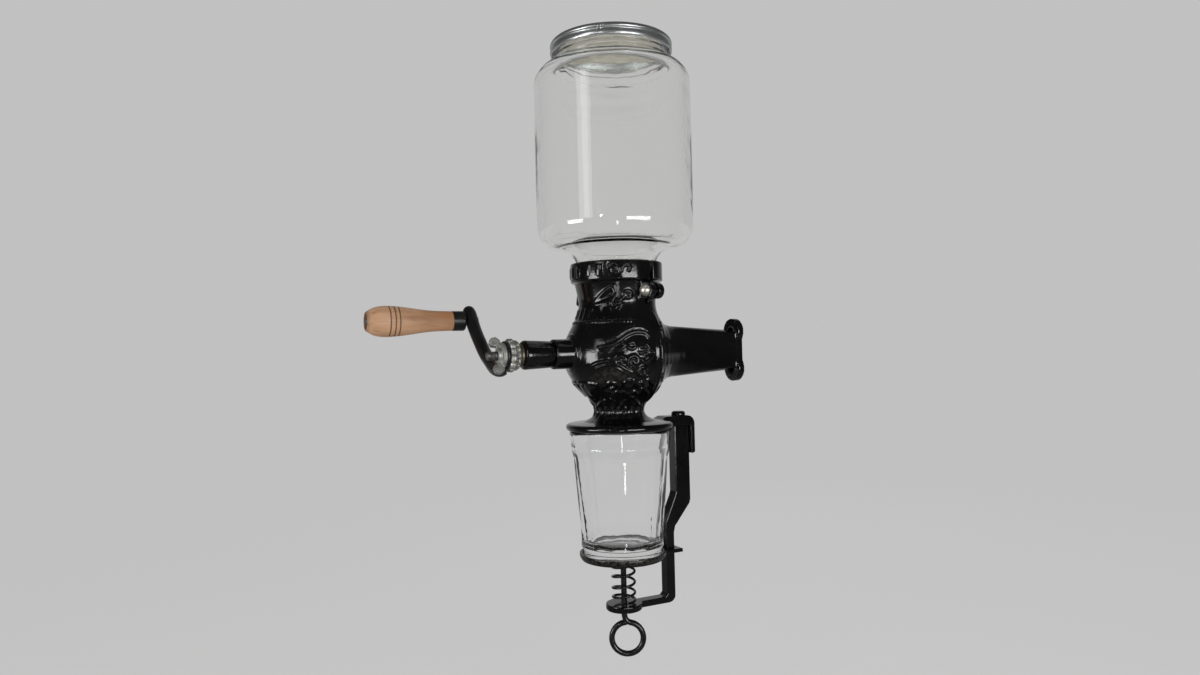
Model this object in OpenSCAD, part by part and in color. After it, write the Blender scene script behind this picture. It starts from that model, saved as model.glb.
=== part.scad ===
// Wall mounted coffee mill: glass hopper jar, cast grinding body, side crank and a sprung cup holder.
// Frame: +Z up, wall plane at Y = 0, crank towards -Y. The shaft lies on the Y axis and the jar and the
// cup share one upright axis in front of the wall.

/* [Wall bracket] */
// Distance from the wall to the upright axis of jar and cup
wall_offset = 100; // [94:1:115]
// Thickness of the wall plate
plate_t = 5; // [4:0.5:8]
// Height of the wall plate
plate_h = 46; // [42:1:60]
// Radius of the two rounded ends of the wall plate
plate_lobe_r = 9.4; // [8.8:0.2:12]
// Width of the plate between its rounded ends
plate_waist_w = 15; // [13:0.5:18]
// Distance between the two wall screw holes
wall_hole_gap = 25.4; // [23:0.2:28]
// Diameter of the wall screw holes
wall_hole_d = 4.8; // [4:0.1:6]
// Diameter of the clearance for each wall screw head
wall_head_d = 12; // [10:0.5:13]
// Depth of the arm's relief in front of the plate
wall_head_depth = 7; // [6:0.5:12]
// Width of the arm at the mill
arm_w_front = 21; // [18:0.5:26]
// Width of the arm at the wall
arm_w_rear = 14.6; // [13:0.2:16]
// Height of the arm at the mill
arm_h_front = 38.5; // [34:0.5:42]
// Height of the arm at the wall
arm_h_rear = 29; // [26:0.5:32]

/* [Body casting] */
// Distance of the seam between body and bracket behind the upright axis
seam_y = 12.5; // [12:0.5:16]
// Radius of the round rim at the seam
seam_r = 37; // [36:0.25:39]
// Largest radius of the round belly
belly_r = 37.5; // [36:0.25:40]
// Radius of the waist under the collar
waist_r = 26.6; // [26:0.2:29]
// Radius of the narrow part of the spout
spout_r = 17.2; // [16.5:0.2:20]
// Radius of the flange over the cup
flange_r = 37.3; // [36.5:0.1:42]
// Underside of the flange, below the shaft
flange_drop = 52.6; // [50:0.2:56]
// Thickness of the flange rim
flange_t = 4.8; // [3.6:0.2:6]
// Diameter of the boss where the shaft leaves
boss_d = 20; // [18:0.5:24]
// Reach of the boss in front of the upright axis
boss_reach = 50; // [46:0.5:54]

/* [Jar collar] */
// Height of the collar rim above the shaft
collar_top = 61.5; // [60:0.5:66]
// Height of the collar band
collar_band = 13.5; // [12:0.5:14]
// Wall of the collar
collar_wall = 4; // [3.5:0.25:6]
// Turn of the clamp slot from the side towards the wall
clamp_turn = 20; // [12:1:30]
// Width of the clamp slot
clamp_slot = 3.4; // [2.5:0.1:4.5]
// Height of the clamp screw above the shaft
clamp_z = 41; // [39:0.5:43]
// Diameter of the clamp screw
clamp_d = 4; // [3.5:0.1:4.5]
// Thickness of each clamp ear
ear_t = 5; // [4:0.25:6]
// Reach of the clamp ears from the upright axis
ear_reach = 37; // [36.5:0.25:39]
// Height of the clamp ears
ear_h = 11; // [9.5:0.5:12]

/* [Glass jar] */
// Outer diameter of the jar
jar_d = 108; // [100:1:120]
// Wall of the jar
jar_wall = 4; // [3.5:0.25:4.5]
// Diameter of the lower neck
jar_neck_d = 54.8; // [53.5:0.2:56]
// Bottom of the jar's round belly above the shaft
jar_bottom = 70.5; // [69:0.5:76]
// Rim of the jar's mouth above the shaft
jar_rim = 211; // [190:0.5:225]
// Radius of the jar's shoulder
jar_shoulder_r = 14; // [12:0.5:16]
// Height of the threaded mouth above the shoulder
jar_mouth_h = 13; // [12:0.5:16]
// Outer diameter of the threaded mouth
jar_mouth_d = 78; // [74:0.5:82]

/* [Jar lid] */
// Reach of the lid's skirt past the threaded mouth
lid_reach = 3.2; // [2.8:0.1:4]
// Sheet thickness of the lid
lid_sheet = 1.2; // [0.8:0.1:1.6]
// Depth of the lid's skirt
lid_skirt = 9; // [8:0.5:12]
// Thickness of the lid's inner disc
liner_t = 2.4; // [2:0.2:3]

/* [Shaft and burrs] */
// Diameter of the drive shaft
shaft_d = 9.5; // [9:0.1:10]
// Diameter of the threaded stud for the crank
stud_d = 6; // [5.5:0.1:6.5]
// Reach of the stud tip in front of the upright axis
stud_reach = 95.6; // [94:0.2:99]
// Outer radius of the fixed ring burr
burr_r = 30; // [28:0.5:31]
// Bore radius of the fixed ring burr
burr_bore_r = 15; // [14.5:0.25:16]
// Thickness of the fixed ring burr
burr_t = 6; // [5:0.5:6]
// Gap between the two burr faces at rest
burr_gap = 0.8; // [0.6:0.1:1.2]
// Thickness of the turning burr
turning_burr_t = 5; // [4:0.5:6]
// Number of cutting grooves on each burr
burr_grooves = 14; // [8:1:16]
// Outer radius of the feed worm
worm_r = 12; // [9:0.5:12.5]
// Length of the sleeve in front of the boss
sleeve_l = 21.5; // [20:0.5:24]
// Diameter of the sleeve at its crank end
sleeve_d = 19.4; // [18:0.2:22]
// Thickness of the thrust washer
washer_t = 2.7; // [2:0.1:3.4]
// Diameter of the thrust washer
washer_d = 15; // [13.5:0.5:18]
// Thickness of the scalloped adjusting nut
adjust_t = 8; // [7:0.2:9]
// Diameter of the scalloped adjusting nut
adjust_d = 22.6; // [20.6:0.2:25]
// Number of scallops on the adjusting nut
adjust_scallops = 12; // [10:1:14]

/* [Crank] */
// Thickness of the crank's eye
eye_t = 2; // [1.8:0.1:3]
// Diameter of the crank's eye
eye_d = 19; // [17:0.5:22]
// Diameter of the crank rod
rod_d = 9.2; // [8:0.2:10.4]
// Distance of the grip to the side of the shaft at rest
grip_x = 62; // [56:1:76]
// Height of the grip above the shaft at rest
grip_z = 25; // [20:1:30]
// Gap between the crank and the ferrule
ferrule_gap = 0.3; // [0.2:0.1:1.5]
// Length of the ferrule
ferrule_l = 9.4; // [8:0.2:12]
// Diameter of the ferrule
ferrule_d = 14; // [13:0.2:16]
// Length of the wooden grip
grip_l = 59.5; // [52:0.5:70]
// Largest diameter of the wooden grip
grip_d = 21.4; // [20:0.2:25]
// Diameter of the spindle inside the grip
spindle_d = 6; // [5:0.2:7]

/* [Cup and holder] */
// Outer diameter of the cup at its rim
cup_d = 70; // [66:0.5:71]
// Outer diameter of the cup at its base
cup_base_d = 55; // [50:0.5:57]
// Height of the cup
cup_h = 85.5; // [80:0.5:90]
// Wall of the cup
cup_wall = 3; // [2.5:0.1:3.5]
// Thickness of the cup's base
cup_base_t = 7; // [5:0.5:9]
// Height of the plain band at the cup's rim
cup_band = 12; // [8:0.5:16]
// Number of flat panels round the cup
cup_panels = 12; // [10:1:12]
// Thickness of the tray floor
tray_t = 2.6; // [2:0.2:3.5]
// Height of the tray lip
tray_lip = 2; // [1.5:0.25:5]
// Depth of the holder's upper bar, towards the wall
bar_d = 12; // [10.6:0.2:13]
// Depth of the holder's lower bar
bar_low_d = 6.4; // [6:0.2:7.6]
// Width of the holder's bar
bar_w = 8.4; // [7:0.2:10]
// Distance of the lower bar from the cup's axis
bar_low_y = 32.8; // [32.4:0.1:34]
// Free length of the lifting spring
spring_l = 29; // [27:0.5:33]
// Outer diameter of the lifting spring
spring_d = 17; // [15:0.2:19]
// Wire of the lifting spring
spring_wire = 1.8; // [1.4:0.1:2]
// Number of coils of the lifting spring
spring_coils = 4.5; // [4:0.5:5]
// Thickness of the holder's foot
foot_t = 4.4; // [4:0.2:6]
// Diameter of the foot's round boss
foot_d = 25; // [21:0.5:26]
// Diameter of the plunger rod and its pull ring
plunger_d = 4; // [3.6:0.1:4.6]
// Outer diameter of the pull ring
ring_d = 25.6; // [24:0.2:30]

/* [Clearances] */
// Radial running clearance of shaft, spindle and plunger
run_fit = 0.05; // [0.02:0.01:0.09]
// Gap between loose neighbours
slack = 0.3; // [0.2:0.05:0.4]

/* [Hidden] */
$fn = 48;

enamel = [0.05, 0.05, 0.055];
steel = [0.55, 0.56, 0.57];
zinc = [0.62, 0.63, 0.63];
iron = [0.32, 0.32, 0.33];
clear_glass = [0.82, 0.88, 0.86, 0.35];
eps = 0.02;

// Collar and jar seat
seat_r = jar_neck_d / 2 + slack;
collar_r = seat_r + collar_wall;
seat_z = collar_top - collar_band - 1.3;
throat_r = jar_neck_d / 2 - jar_wall;

// Jar and lid
jar_shoulder = jar_rim - jar_mouth_h - jar_shoulder_r;
lid_d = jar_mouth_d + 2 * lid_reach;

// Burr chamber along the shaft
chamber_front = -22;
burr_y = seam_y - 17;
turning_y = burr_y + burr_t + burr_gap;
turning_r = burr_r - 1.5;
chute_r = 10.5;
chute_lean = 24;
chute_l = 40;
throat_h = 9;
outlet_r = spout_r - 3.7;
outlet_top = -25;

// Stack on the front of the shaft, measured towards the crank
sleeve_y = boss_reach + sleeve_l;
washer_y = sleeve_y + washer_t;
adjust_y = washer_y + adjust_t;
eye_y = adjust_y + eye_t;
wing_t = 2.2;
wing_hub_r = 8.4;
wing_w = 3.6;
wing_turn = 25;

// Rear bell and seam screws
rim_t = 2;
bell_cut_high = 20;
bell_cut_low = 20;
bell_l = 20;
bell_tail = 15;
shaft_tail = 13;
seam_screw_r = (burr_r + seam_r) / 2 + 0.1;
seam_screw_d = 3.2;
seam_screw_turns = [62, 118, 242, 298];
seam_screw_grip = 8;
burr_screw_r = (burr_bore_r + burr_r) / 2;
burr_screw_d = 3;
burr_screw_l = 5;
burr_screw_seat = 1.5;
burr_screw_head = 2;
burr_nose_r = 8;
burr_nose_l = 5;
burr_hub_r = 9;
burr_hub_l = 5;
cross_pin_d = 2.5;
cross_pin_y = turning_y + turning_burr_t + burr_hub_l / 2;

// Cup, tray and holder levels
cup_gap = 0.2;
cup_rim = -flange_drop - cup_gap;
cup_foot = cup_rim - cup_h;
tray_under = cup_foot - tray_t;
tray_wall = 2;
tray_r = cup_base_d / 2 + slack + tray_wall;
seat_t = 1.2;
spring_top = tray_under - seat_t - slack;
foot_top = spring_top - spring_l - slack;
foot_under = foot_top - foot_t;
bar_y = cup_d / 2 + 6.5;
jog_top = cup_foot + 36;
jog_low = cup_foot + 19;
lug_t = 7;
lug_top = -flange_drop + lug_t;
lug_lip_t = 3.4;
lug_w = 13;
lug_end = bar_y + bar_d + slack + lug_lip_t;
lug_lip_z = -flange_drop - 20;
bar_screw_y = bar_y + bar_d / 2;
bar_screw_d = 4.4;
ring_top = foot_under - 7;
ring_z = ring_top - ring_d / 2;
fork_w = 4;
fork_t = 2.6;
ring_shift = 1.8;
ring_turn = 27;

// Crank arm and grip
arm_y = eye_y + 0.8;
grip_y = arm_y + rod_d / 2;
ferrule_wall = 1.2;
tenon_end = ferrule_gap + ferrule_wall + slack;
grip_end = ferrule_l + grip_l;
groove_places = [0.6, 0.65, 0.73];

// Crank sweep from the eye past the grip's spindle, as x, y and z at the rest pose
crank_path = [
    [0.5, -eye_y + 0.4, -7.8],
    [-5, -eye_y - 0.3, -9.3],
    [-0.2 * grip_x, -arm_y, -8.5],
    [-0.34 * grip_x, -arm_y, -4.6],
    [-0.51 * grip_x, -arm_y, 0.04 * grip_z],
    [-0.68 * grip_x, -arm_y, 0.36 * grip_z],
    [-0.84 * grip_x, -arm_y, 0.68 * grip_z],
    [-grip_x, -arm_y, grip_z],
    [-1.1 * grip_x, -arm_y, 1.22 * grip_z]
];

// Points on a smooth curve through the given points, steps to each span
function curve_point(a, b, c, d, t) =
    0.5 * (2 * b + (c - a) * t + (2 * a - 5 * b + 4 * c - d) * t * t
    + (3 * b - a - 3 * c + d) * t * t * t);
function smooth(p, steps) = [
    for (i = [0:len(p) - 2], k = [0:steps - 1])
        curve_point(p[max(i - 1, 0)], p[i], p[i + 1], p[min(i + 2, len(p) - 1)], k / steps),
    p[len(p) - 1]
];
// Points on an arc about a centre
function arc(cx, cy, r, a0, a1, n) = [
    for (k = [0:n]) [cx + r * cos(a0 + (a1 - a0) * k / n), cy + r * sin(a0 + (a1 - a0) * k / n)]
];
function unit(v) = v / norm(v);

module mill() translate([0, -wall_offset, 0]) children();
module along_y(y) translate([0, y, 0]) rotate([-90, 0, 0]) children();
module y_bore(r, y0, y1) along_y(y0) cylinder(r = r, h = y1 - y0);
module at_grip() translate([-grip_x, -grip_y, grip_z]) rotate([90, 0, 0]) children();
module at_clamp() rotate(clamp_turn) translate([ear_reach - ear_h / 2, 0, clamp_z]) children();

// Closed tube along a list of points with rings of the given count of sides, narrowed at its last ring
module tube(path, r, sides, tip = 1) {
    n = len(path);
    tangent = [for (i = [0:n - 1]) unit(path[min(i + 1, n - 1)] - path[max(i - 1, 0)])];
    guide = [0, 0.35, 0.94];
    side = [for (t = tangent) unit(cross(t, guide))];
    up = [for (i = [0:n - 1]) cross(side[i], tangent[i])];
    rings = [
        for (i = [0:n - 1], k = [0:sides - 1])
            let (ring_r = i == n - 1 ? tip * r : r)
            path[i] + ring_r * (cos(360 * k / sides) * side[i] + sin(360 * k / sides) * up[i])
    ];
    walls = [
        for (i = [0:n - 2], k = [0:sides - 1], half = [0, 1])
            let (a = i * sides + k, b = i * sides + (k + 1) % sides, c = a + sides, d = b + sides)
            half == 0 ? [a, b, c] : [b, d, c]
    ];
    head = [for (k = [1:sides - 2]) [0, k + 1, k]];
    tail = [for (k = [1:sides - 2]) [(n - 1) * sides, (n - 1) * sides + k, (n - 1) * sides + k + 1]];
    polyhedron(points = rings, faces = concat(walls, head, tail), convexity = 8);
}

// Centre line of an open coil about Z from 0 to h, with short straight ends
rings_per_coil = 8;
function coil_path(mean_r, h, coils, wire) =
    let (n = coils * rings_per_coil, rise = h - wire, turn = 360 * coils)
    concat(
        [[mean_r, -wire, wire / 2]],
        [for (i = [0:n]) [mean_r * cos(turn * i / n), mean_r * sin(turn * i / n), wire / 2 + rise * i / n]],
        [[mean_r * cos(turn) - wire * sin(turn), mean_r * sin(turn) + wire * cos(turn), h - wire / 2]]
    );
// Least gap between points of a coil that lie most of a turn apart
function coil_gap(p, wire) = min([
    for (i = [0:len(p) - 1], j = [0:len(p) - 1]) if (j - i >= rings_per_coil - 2) norm(p[j] - p[i])
]) - wire;
module coil(d, h, coils, wire) tube(coil_path((d - wire) / 2, h, coils, wire), wire / 2, 6);

lift_path = coil_path((spring_d - spring_wire) / 2, spring_l, spring_coils, spring_wire);
echo(lift_spring_least_gap = coil_gap(lift_path, spring_wire));

// Outside of the grinding body about the upright axis
belly = smooth([
    [collar_r - 2.6, seat_z + 1.2],
    [waist_r + 1, 41],
    [waist_r, 34],
    [waist_r + 1.2, 26.5],
    [belly_r - 6, 19],
    [belly_r - 1.6, 10],
    [belly_r, 0],
    [belly_r - 0.8, -9.5],
    [belly_r - 4.6, -17.5],
    [spout_r + 9.8, -24.5],
    [spout_r + 4, -30.5],
    [spout_r + 0.6, -36.5],
    [spout_r, -41],
    [spout_r + 2.6, -flange_drop + flange_t + 3.4],
    [spout_r + 8, -flange_drop + flange_t + 1]
], 3);

module body_outline() {
    rim_in = 1.2;
    polygon(concat(
        [[0, collar_top], [collar_r - rim_in, collar_top]],
        arc(collar_r - rim_in, collar_top - rim_in, rim_in, 80, 0, 3),
        [[collar_r, collar_top - collar_band + 1], [collar_r - 1, collar_top - collar_band]],
        belly,
        [[flange_r - 2.4, -flange_drop + flange_t]],
        arc(flange_r - flange_t / 2, -flange_drop + flange_t / 2, flange_t / 2, 80, -80, 6),
        [[flange_r - 2.4, -flange_drop], [0, -flange_drop]]
    ));
}

// Round shapes about the shaft: front boss and the flared rear drum
module boss_outline() {
    fillet = 3;
    polygon(concat(
        [[0, -boss_reach], [boss_d / 2 - 0.8, -boss_reach], [boss_d / 2, -boss_reach + 0.8]],
        arc(boss_d / 2 + fillet, -belly_r - 1.4, fillet, 180, 90, 4),
        [[boss_d / 2 + fillet, -belly_r + 8], [0, -belly_r + 8]]
    ));
}
module drum_outline() {
    polygon(concat(
        [[0, -2]],
        smooth([
            [seam_r - 6, -2], [seam_r - 3.4, seam_y - 9], [seam_r - 1.2, seam_y - 5], [seam_r, seam_y - 2]
        ], 3),
        [[seam_r, seam_y], [0, seam_y]]
    ));
}

// Hood at the back of the flange that the cup holder hangs in
module lug_outline() {
    corner = 6;
    polygon(concat(
        [[flange_r - 8, -flange_drop + flange_t], [flange_r - 3, lug_top]],
        arc(lug_end - corner, lug_top - corner, corner, 90, 0, 4),
        [[lug_end, lug_lip_z + 1.2], [lug_end - 1.2, lug_lip_z], [lug_end - lug_lip_t, lug_lip_z]],
        [[lug_end - lug_lip_t, -flange_drop], [flange_r - 8, -flange_drop]]
    ));
}
module lug() rotate([90, 0, 90]) translate([0, 0, -lug_w / 2]) linear_extrude(lug_w) lug_outline();

module clamp_ears() {
    w = 2 * ear_t + clamp_slot;
    root = waist_r - 3;
    straight = ear_reach - root - ear_h / 2;
    rotate(clamp_turn)
        translate([root, 0, clamp_z])
            rotate([90, 0, 0])
                translate([0, 0, -w / 2])
                    linear_extrude(w) {
                        translate([0, -ear_h / 2]) square([straight, ear_h]);
                        translate([straight, 0]) circle(d = ear_h);
                    }
}

// Round body, cut back to the seam where the bracket's bell closes it
module round_body() difference() {
    rotate_extrude() body_outline();
    translate([-belly_r - 10, seam_y, -bell_cut_low])
        cube([2 * belly_r + 20, belly_r + 10, bell_cut_low + bell_cut_high]);
}

module body_casting() color(enamel) mill() difference() {
    union() {
        round_body();
        along_y(0) rotate_extrude() boss_outline();
        along_y(0) rotate_extrude() drum_outline();
        lug();
        clamp_ears();
    }
    // Jar seat, throat and bean chute
    translate([0, 0, seat_z]) cylinder(r = seat_r, h = collar_top);
    translate([0, 0, seat_z - throat_h]) cylinder(r1 = chute_r, r2 = throat_r, h = throat_h + eps);
    translate([0, 0, seat_z - 2])
        rotate([-chute_lean, 0, 0])
            translate([0, 0, -chute_l - 2]) cylinder(r = chute_r, h = chute_l);
    // Grinding chamber, burr seat and shaft bore
    y_bore(burr_bore_r, chamber_front, burr_y + eps);
    y_bore(burr_r + slack, burr_y, seam_y + 1);
    along_y(0) rotate_extrude() bell_outline(slack);
    y_bore(shaft_d / 2 + run_fit, -boss_reach - 1, chamber_front + 1);
    // Outlet to the cup
    translate([0, 0, -flange_drop - 1]) cylinder(r = outlet_r, h = flange_drop + outlet_top);
    // Clamp slot and screw hole
    rotate(clamp_turn) translate([throat_r - 2, -clamp_slot / 2, clamp_z - 8]) cube([30, clamp_slot, 40]);
    at_clamp() rotate([90, 0, 0]) cylinder(d = clamp_d + 2 * slack, h = 60, center = true);
    // Screw holes for the cup holder, the seam and the ring burr
    translate([0, bar_screw_y, -flange_drop - 1]) cylinder(d = bar_screw_d + 2 * slack, h = lug_t + 2);
    for (a = seam_screw_turns)
        rotate([0, a, 0])
            translate([0, 0, seam_screw_r])
                y_bore(seam_screw_d / 2, seam_y - seam_screw_grip, seam_y + 1);
    for (s = [-1, 1])
        translate([s * burr_screw_r, 0, 0]) y_bore(burr_screw_d / 2, burr_y - burr_screw_l - 1, burr_y + 1);
}

// Half outline of the bracket's bell about the shaft, with extra room round it
module bell_outline(room) {
    foot = seam_y + rim_t;
    polygon(concat(
        [[0, seam_y], [seam_r + room, seam_y]],
        smooth([
            [seam_r + room, foot - 0.6],
            [seam_r - 2 + room, foot + 1.4],
            [seam_r - 7 + room, foot + 4],
            [seam_r - 12.5 + room, foot + 8],
            [seam_r - 16.4 + room, foot + 13],
            [arm_h_front / 2 - 0.6 + room, seam_y + bell_l],
            [arm_w_front / 2 + 3 + room, seam_y + bell_l + bell_tail / 2],
            [arm_w_front / 2 - 1.3 + room, seam_y + bell_l + bell_tail]
        ], 3),
        [[0, seam_y + bell_l + bell_tail]]
    ));
}

module plate_outline() {
    square([plate_waist_w, plate_h - 2 * plate_lobe_r], center = true);
    for (s = [-1, 1])
        translate([0, s * (plate_h / 2 - plate_lobe_r)]) circle(r = plate_lobe_r);
}

module wall_bracket() color(enamel) difference() {
    arm_y = seam_y + bell_l - 8;
    arm_l = wall_offset - plate_t - arm_y;
    union() {
        mill() along_y(0) rotate_extrude() bell_outline(0);
        mill() intersection() {
            along_y(arm_y) cylinder(d1 = arm_h_front, d2 = arm_h_rear, h = arm_l + 1);
            translate([0, arm_y, -plate_h])
                linear_extrude(2 * plate_h)
                    polygon([
                        [-arm_w_front / 2, 0], [arm_w_front / 2, 0],
                        [arm_w_rear / 2, arm_l + 1], [-arm_w_rear / 2, arm_l + 1]
                    ]);
        }
        along_y(-plate_t) linear_extrude(plate_t) plate_outline();
    }
    // Wall screw holes with countersinks and head clearance
    for (s = [-1, 1])
        translate([0, 0, s * wall_hole_gap / 2]) {
            y_bore(wall_hole_d / 2, -plate_t - 1, 1);
            along_y(-plate_t - eps) cylinder(d1 = wall_hole_d + 3.6, d2 = wall_hole_d, h = 1.8);
            y_bore(wall_head_d / 2, -plate_t - wall_head_depth, -plate_t);
        }
    // Rear bearing of the shaft and the seam screws
    mill() y_bore(shaft_d / 2 + run_fit, seam_y - 1, seam_y + shaft_tail + slack);
    mill() for (a = seam_screw_turns)
        rotate([0, a, 0]) translate([0, 0, seam_screw_r]) {
            y_bore(seam_screw_d / 2, seam_y - 1, seam_y + rim_t + 4);
            y_bore(seam_screw_d, seam_y + rim_t, seam_y + rim_t + 12);
        }
}

module bracket_screws() color(steel) mill() {
    head_t = 2;
    for (a = seam_screw_turns)
        rotate([0, a, 0]) translate([0, 0, seam_screw_r]) {
            y_bore(seam_screw_d / 2, seam_y - seam_screw_grip + 1, seam_y + rim_t);
            along_y(seam_y + rim_t) difference() {
                cylinder(r = seam_screw_d - slack, h = head_t);
                translate([-4, -0.4, head_t - 0.8]) cube([8, 0.8, 2]);
            }
        }
}

module burr_grooves_cut(y, r0, r1) {
    groove_w = 1.8;
    groove_d = 1.2;
    for (k = [0:burr_grooves - 1])
        rotate([0, 360 * (k + 0.5) / burr_grooves, 0])
            translate([r0, y - groove_d, 2]) cube([r1 - r0, 2 * groove_d, groove_w]);
}

module stationary_burr() color(iron) mill() difference() {
    face = burr_y + burr_t;
    y_bore(burr_r, burr_y, face);
    y_bore(burr_bore_r, burr_y - 1, face + 1);
    along_y(face - 3) cylinder(r1 = burr_bore_r, r2 = burr_bore_r + 3, h = 3 + eps);
    burr_grooves_cut(face, burr_bore_r - 2, burr_r + 2);
    for (s = [-1, 1])
        translate([s * burr_screw_r, 0, 0]) {
            y_bore(burr_screw_d / 2, burr_y - 1, face + 1);
            along_y(burr_y + burr_screw_seat) cylinder(r = burr_screw_d, h = burr_t);
        }
}

module burr_screws() color(steel) mill() for (s = [-1, 1])
    translate([s * burr_screw_r, 0, 0]) {
        y_bore(burr_screw_d / 2, burr_y - burr_screw_l, burr_y + burr_screw_seat);
        along_y(burr_y + burr_screw_seat) cylinder(r = burr_screw_d - slack, h = burr_screw_head);
    }

module front_sleeve() color(enamel) mill() difference() {
    chamfer = 1.4;
    along_y(-sleeve_y) rotate_extrude() polygon([
        [0, 0], [sleeve_d / 2 - chamfer, 0], [sleeve_d / 2, chamfer],
        [sleeve_d / 2 - 0.9, sleeve_l - chamfer], [sleeve_d / 2 - 0.9 - chamfer, sleeve_l], [0, sleeve_l]
    ]);
    y_bore(shaft_d / 2 + run_fit, -sleeve_y - 1, -boss_reach + 1);
}

// Half outline of the glass from the lower neck to the mouth, outside and inside
module jar_outline() {
    r = jar_d / 2;
    neck = jar_neck_d / 2;
    mouth = jar_mouth_d / 2;
    low = 15;
    floor_z = jar_bottom + 1.2;
    high = jar_shoulder_r;
    outside = concat(
        [[neck - 0.8, seat_z], [neck, seat_z + 0.8]],
        [[neck, jar_bottom - 4], [neck + 1, jar_bottom - 1.6], [neck + 4, jar_bottom]],
        arc(r - low, floor_z + low, low, -90, 0, 8),
        arc(r - high, jar_shoulder, high, 0, 72, 7),
        [[mouth, jar_shoulder + high + 0.8], [mouth, jar_rim - 1.2], [mouth - 1.2, jar_rim]]
    );
    inside = concat(
        [[mouth - jar_wall, jar_rim], [mouth - jar_wall, jar_shoulder + high - 1.6]],
        arc(r - high, jar_shoulder, high - jar_wall, 66, 0, 6),
        arc(r - low, floor_z + low, low - jar_wall, 0, -88, 6),
        [[neck + 2, jar_bottom + jar_wall], [neck - jar_wall + 1.6, jar_bottom + 2]],
        [[neck - jar_wall, jar_bottom - 2], [neck - jar_wall, seat_z]]
    );
    polygon(concat(outside, inside));
}
module glass_jar() color(clear_glass) mill() rotate_extrude($fn = 96) jar_outline();

module lid_liner() color([0.8, 0.76, 0.66]) mill()
    translate([0, 0, jar_rim + eps * 5]) cylinder(r = jar_mouth_d / 2 - 0.4, h = liner_t);

module lid_outline() {
    r = lid_d / 2;
    top = jar_rim + eps * 5 + liner_t + eps * 5 + lid_sheet;
    low = top - lid_skirt;
    bead = 0.7;
    polygon(concat(
        [[0, top], [r - 4, top]],
        arc(r - 2.4, top - 2.4, 2.4, 80, 0, 4),
        [[r - bead, top - 3.2], [r - bead, top - 4.4], [r, top - 5], [r, low + 0.6], [r - 0.6, low]],
        [[r - 2 * lid_sheet, low], [r - lid_sheet - bead, top - 4]],
        [[r - lid_sheet - bead, top - lid_sheet], [0, top - lid_sheet]]
    ));
}
module jar_lid() color(zinc) mill() rotate_extrude($fn = 96) lid_outline();

module clamp_screw() color([0.78, 0.77, 0.72]) mill() at_clamp() rotate([90, 0, 0]) {
    half = ear_t + clamp_slot / 2;
    head_r = clamp_d;
    translate([0, 0, -half - 4]) cylinder(d = clamp_d, h = 2 * half + 4);
    translate([0, 0, half]) rotate_extrude() polygon(concat(
        [[0, 0], [head_r, 0]], arc(0, 0, head_r, 0, 90, 6)
    ));
}

// Side outline of the cup holder: hung bar, inward jog, lower bar and foot
module bracket_outline() {
    bend = 5;
    top = -flange_drop - eps * 5;
    y2 = bar_y + bar_d;
    l2 = bar_low_y + bar_low_d;
    polygon(concat(
        [[bar_y, top], [y2, top], [y2, jog_top - 3]],
        [[y2 - 1, jog_top - 6], [l2 + 1, jog_low - 4], [l2, jog_low - 8]],
        arc(l2 - bend, foot_under + bend, bend, 0, -90, 4),
        [[0, foot_under], [0, foot_top]],
        [[bar_low_y - 2, foot_top], [bar_low_y, foot_top + 2]],
        [[bar_low_y, jog_low], [bar_y - 1, jog_top], [bar_y, jog_top + 3]]
    ));
}
module cup_bracket() color(enamel) mill() difference() {
    union() {
        rotate([90, 0, 90]) translate([0, 0, -bar_w / 2]) linear_extrude(bar_w) bracket_outline();
        translate([0, 0, foot_under]) cylinder(d1 = foot_d - 1.6, d2 = foot_d, h = 0.8);
        translate([0, 0, foot_under + 0.8]) cylinder(d = foot_d, h = foot_t - 0.8);
    }
    translate([0, 0, foot_under - 1]) cylinder(d = plunger_d + 2 * run_fit, h = foot_t + 2);
    translate([0, bar_screw_y, -flange_drop - 14]) cylinder(d = bar_screw_d, h = 15);
}

module cup_bracket_screw() color(enamel) mill() translate([0, bar_screw_y, lug_top]) {
    head_r = 5;
    head_h = 3;
    shank = lug_t + 12;
    translate([0, 0, -shank]) cylinder(d = bar_screw_d, h = shank);
    rotate_extrude() polygon(concat([[0, 0], [head_r, 0]],
        arc(head_r - 2, head_h - 2, 2, 0, 90, 4), [[0, head_h]]));
}

module drive_shaft() color(steel) mill() difference() {
    step = sleeve_y - 3;
    union() {
        y_bore(shaft_d / 2, -step, seam_y + shaft_tail);
        y_bore(stud_d / 2, -stud_reach + 0.8, -step);
        along_y(-stud_reach) cylinder(d1 = stud_d - 1.6, d2 = stud_d, h = 0.8);
    }
    translate([0, cross_pin_y, 0]) cylinder(d = cross_pin_d, h = 3 * burr_hub_r, center = true);
}

module rotating_burr() color(iron) mill() difference() {
    union() {
        y_bore(turning_r, turning_y, turning_y + turning_burr_t);
        along_y(turning_y - burr_nose_l) cylinder(r1 = burr_nose_r, r2 = burr_bore_r - 2, h = burr_nose_l);
        y_bore(burr_hub_r, turning_y, turning_y + turning_burr_t + burr_hub_l);
    }
    y_bore(shaft_d / 2, turning_y - burr_nose_l - 1, seam_y);
    burr_grooves_cut(turning_y, burr_bore_r - 2, burr_r + 2);
    translate([0, cross_pin_y, 0]) cylinder(d = cross_pin_d, h = 3 * burr_hub_r, center = true);
}

module burr_cross_pin() color(steel) mill()
    translate([0, cross_pin_y, 0]) cylinder(d = cross_pin_d, h = 2 * burr_hub_r - 0.4, center = true);

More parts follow.
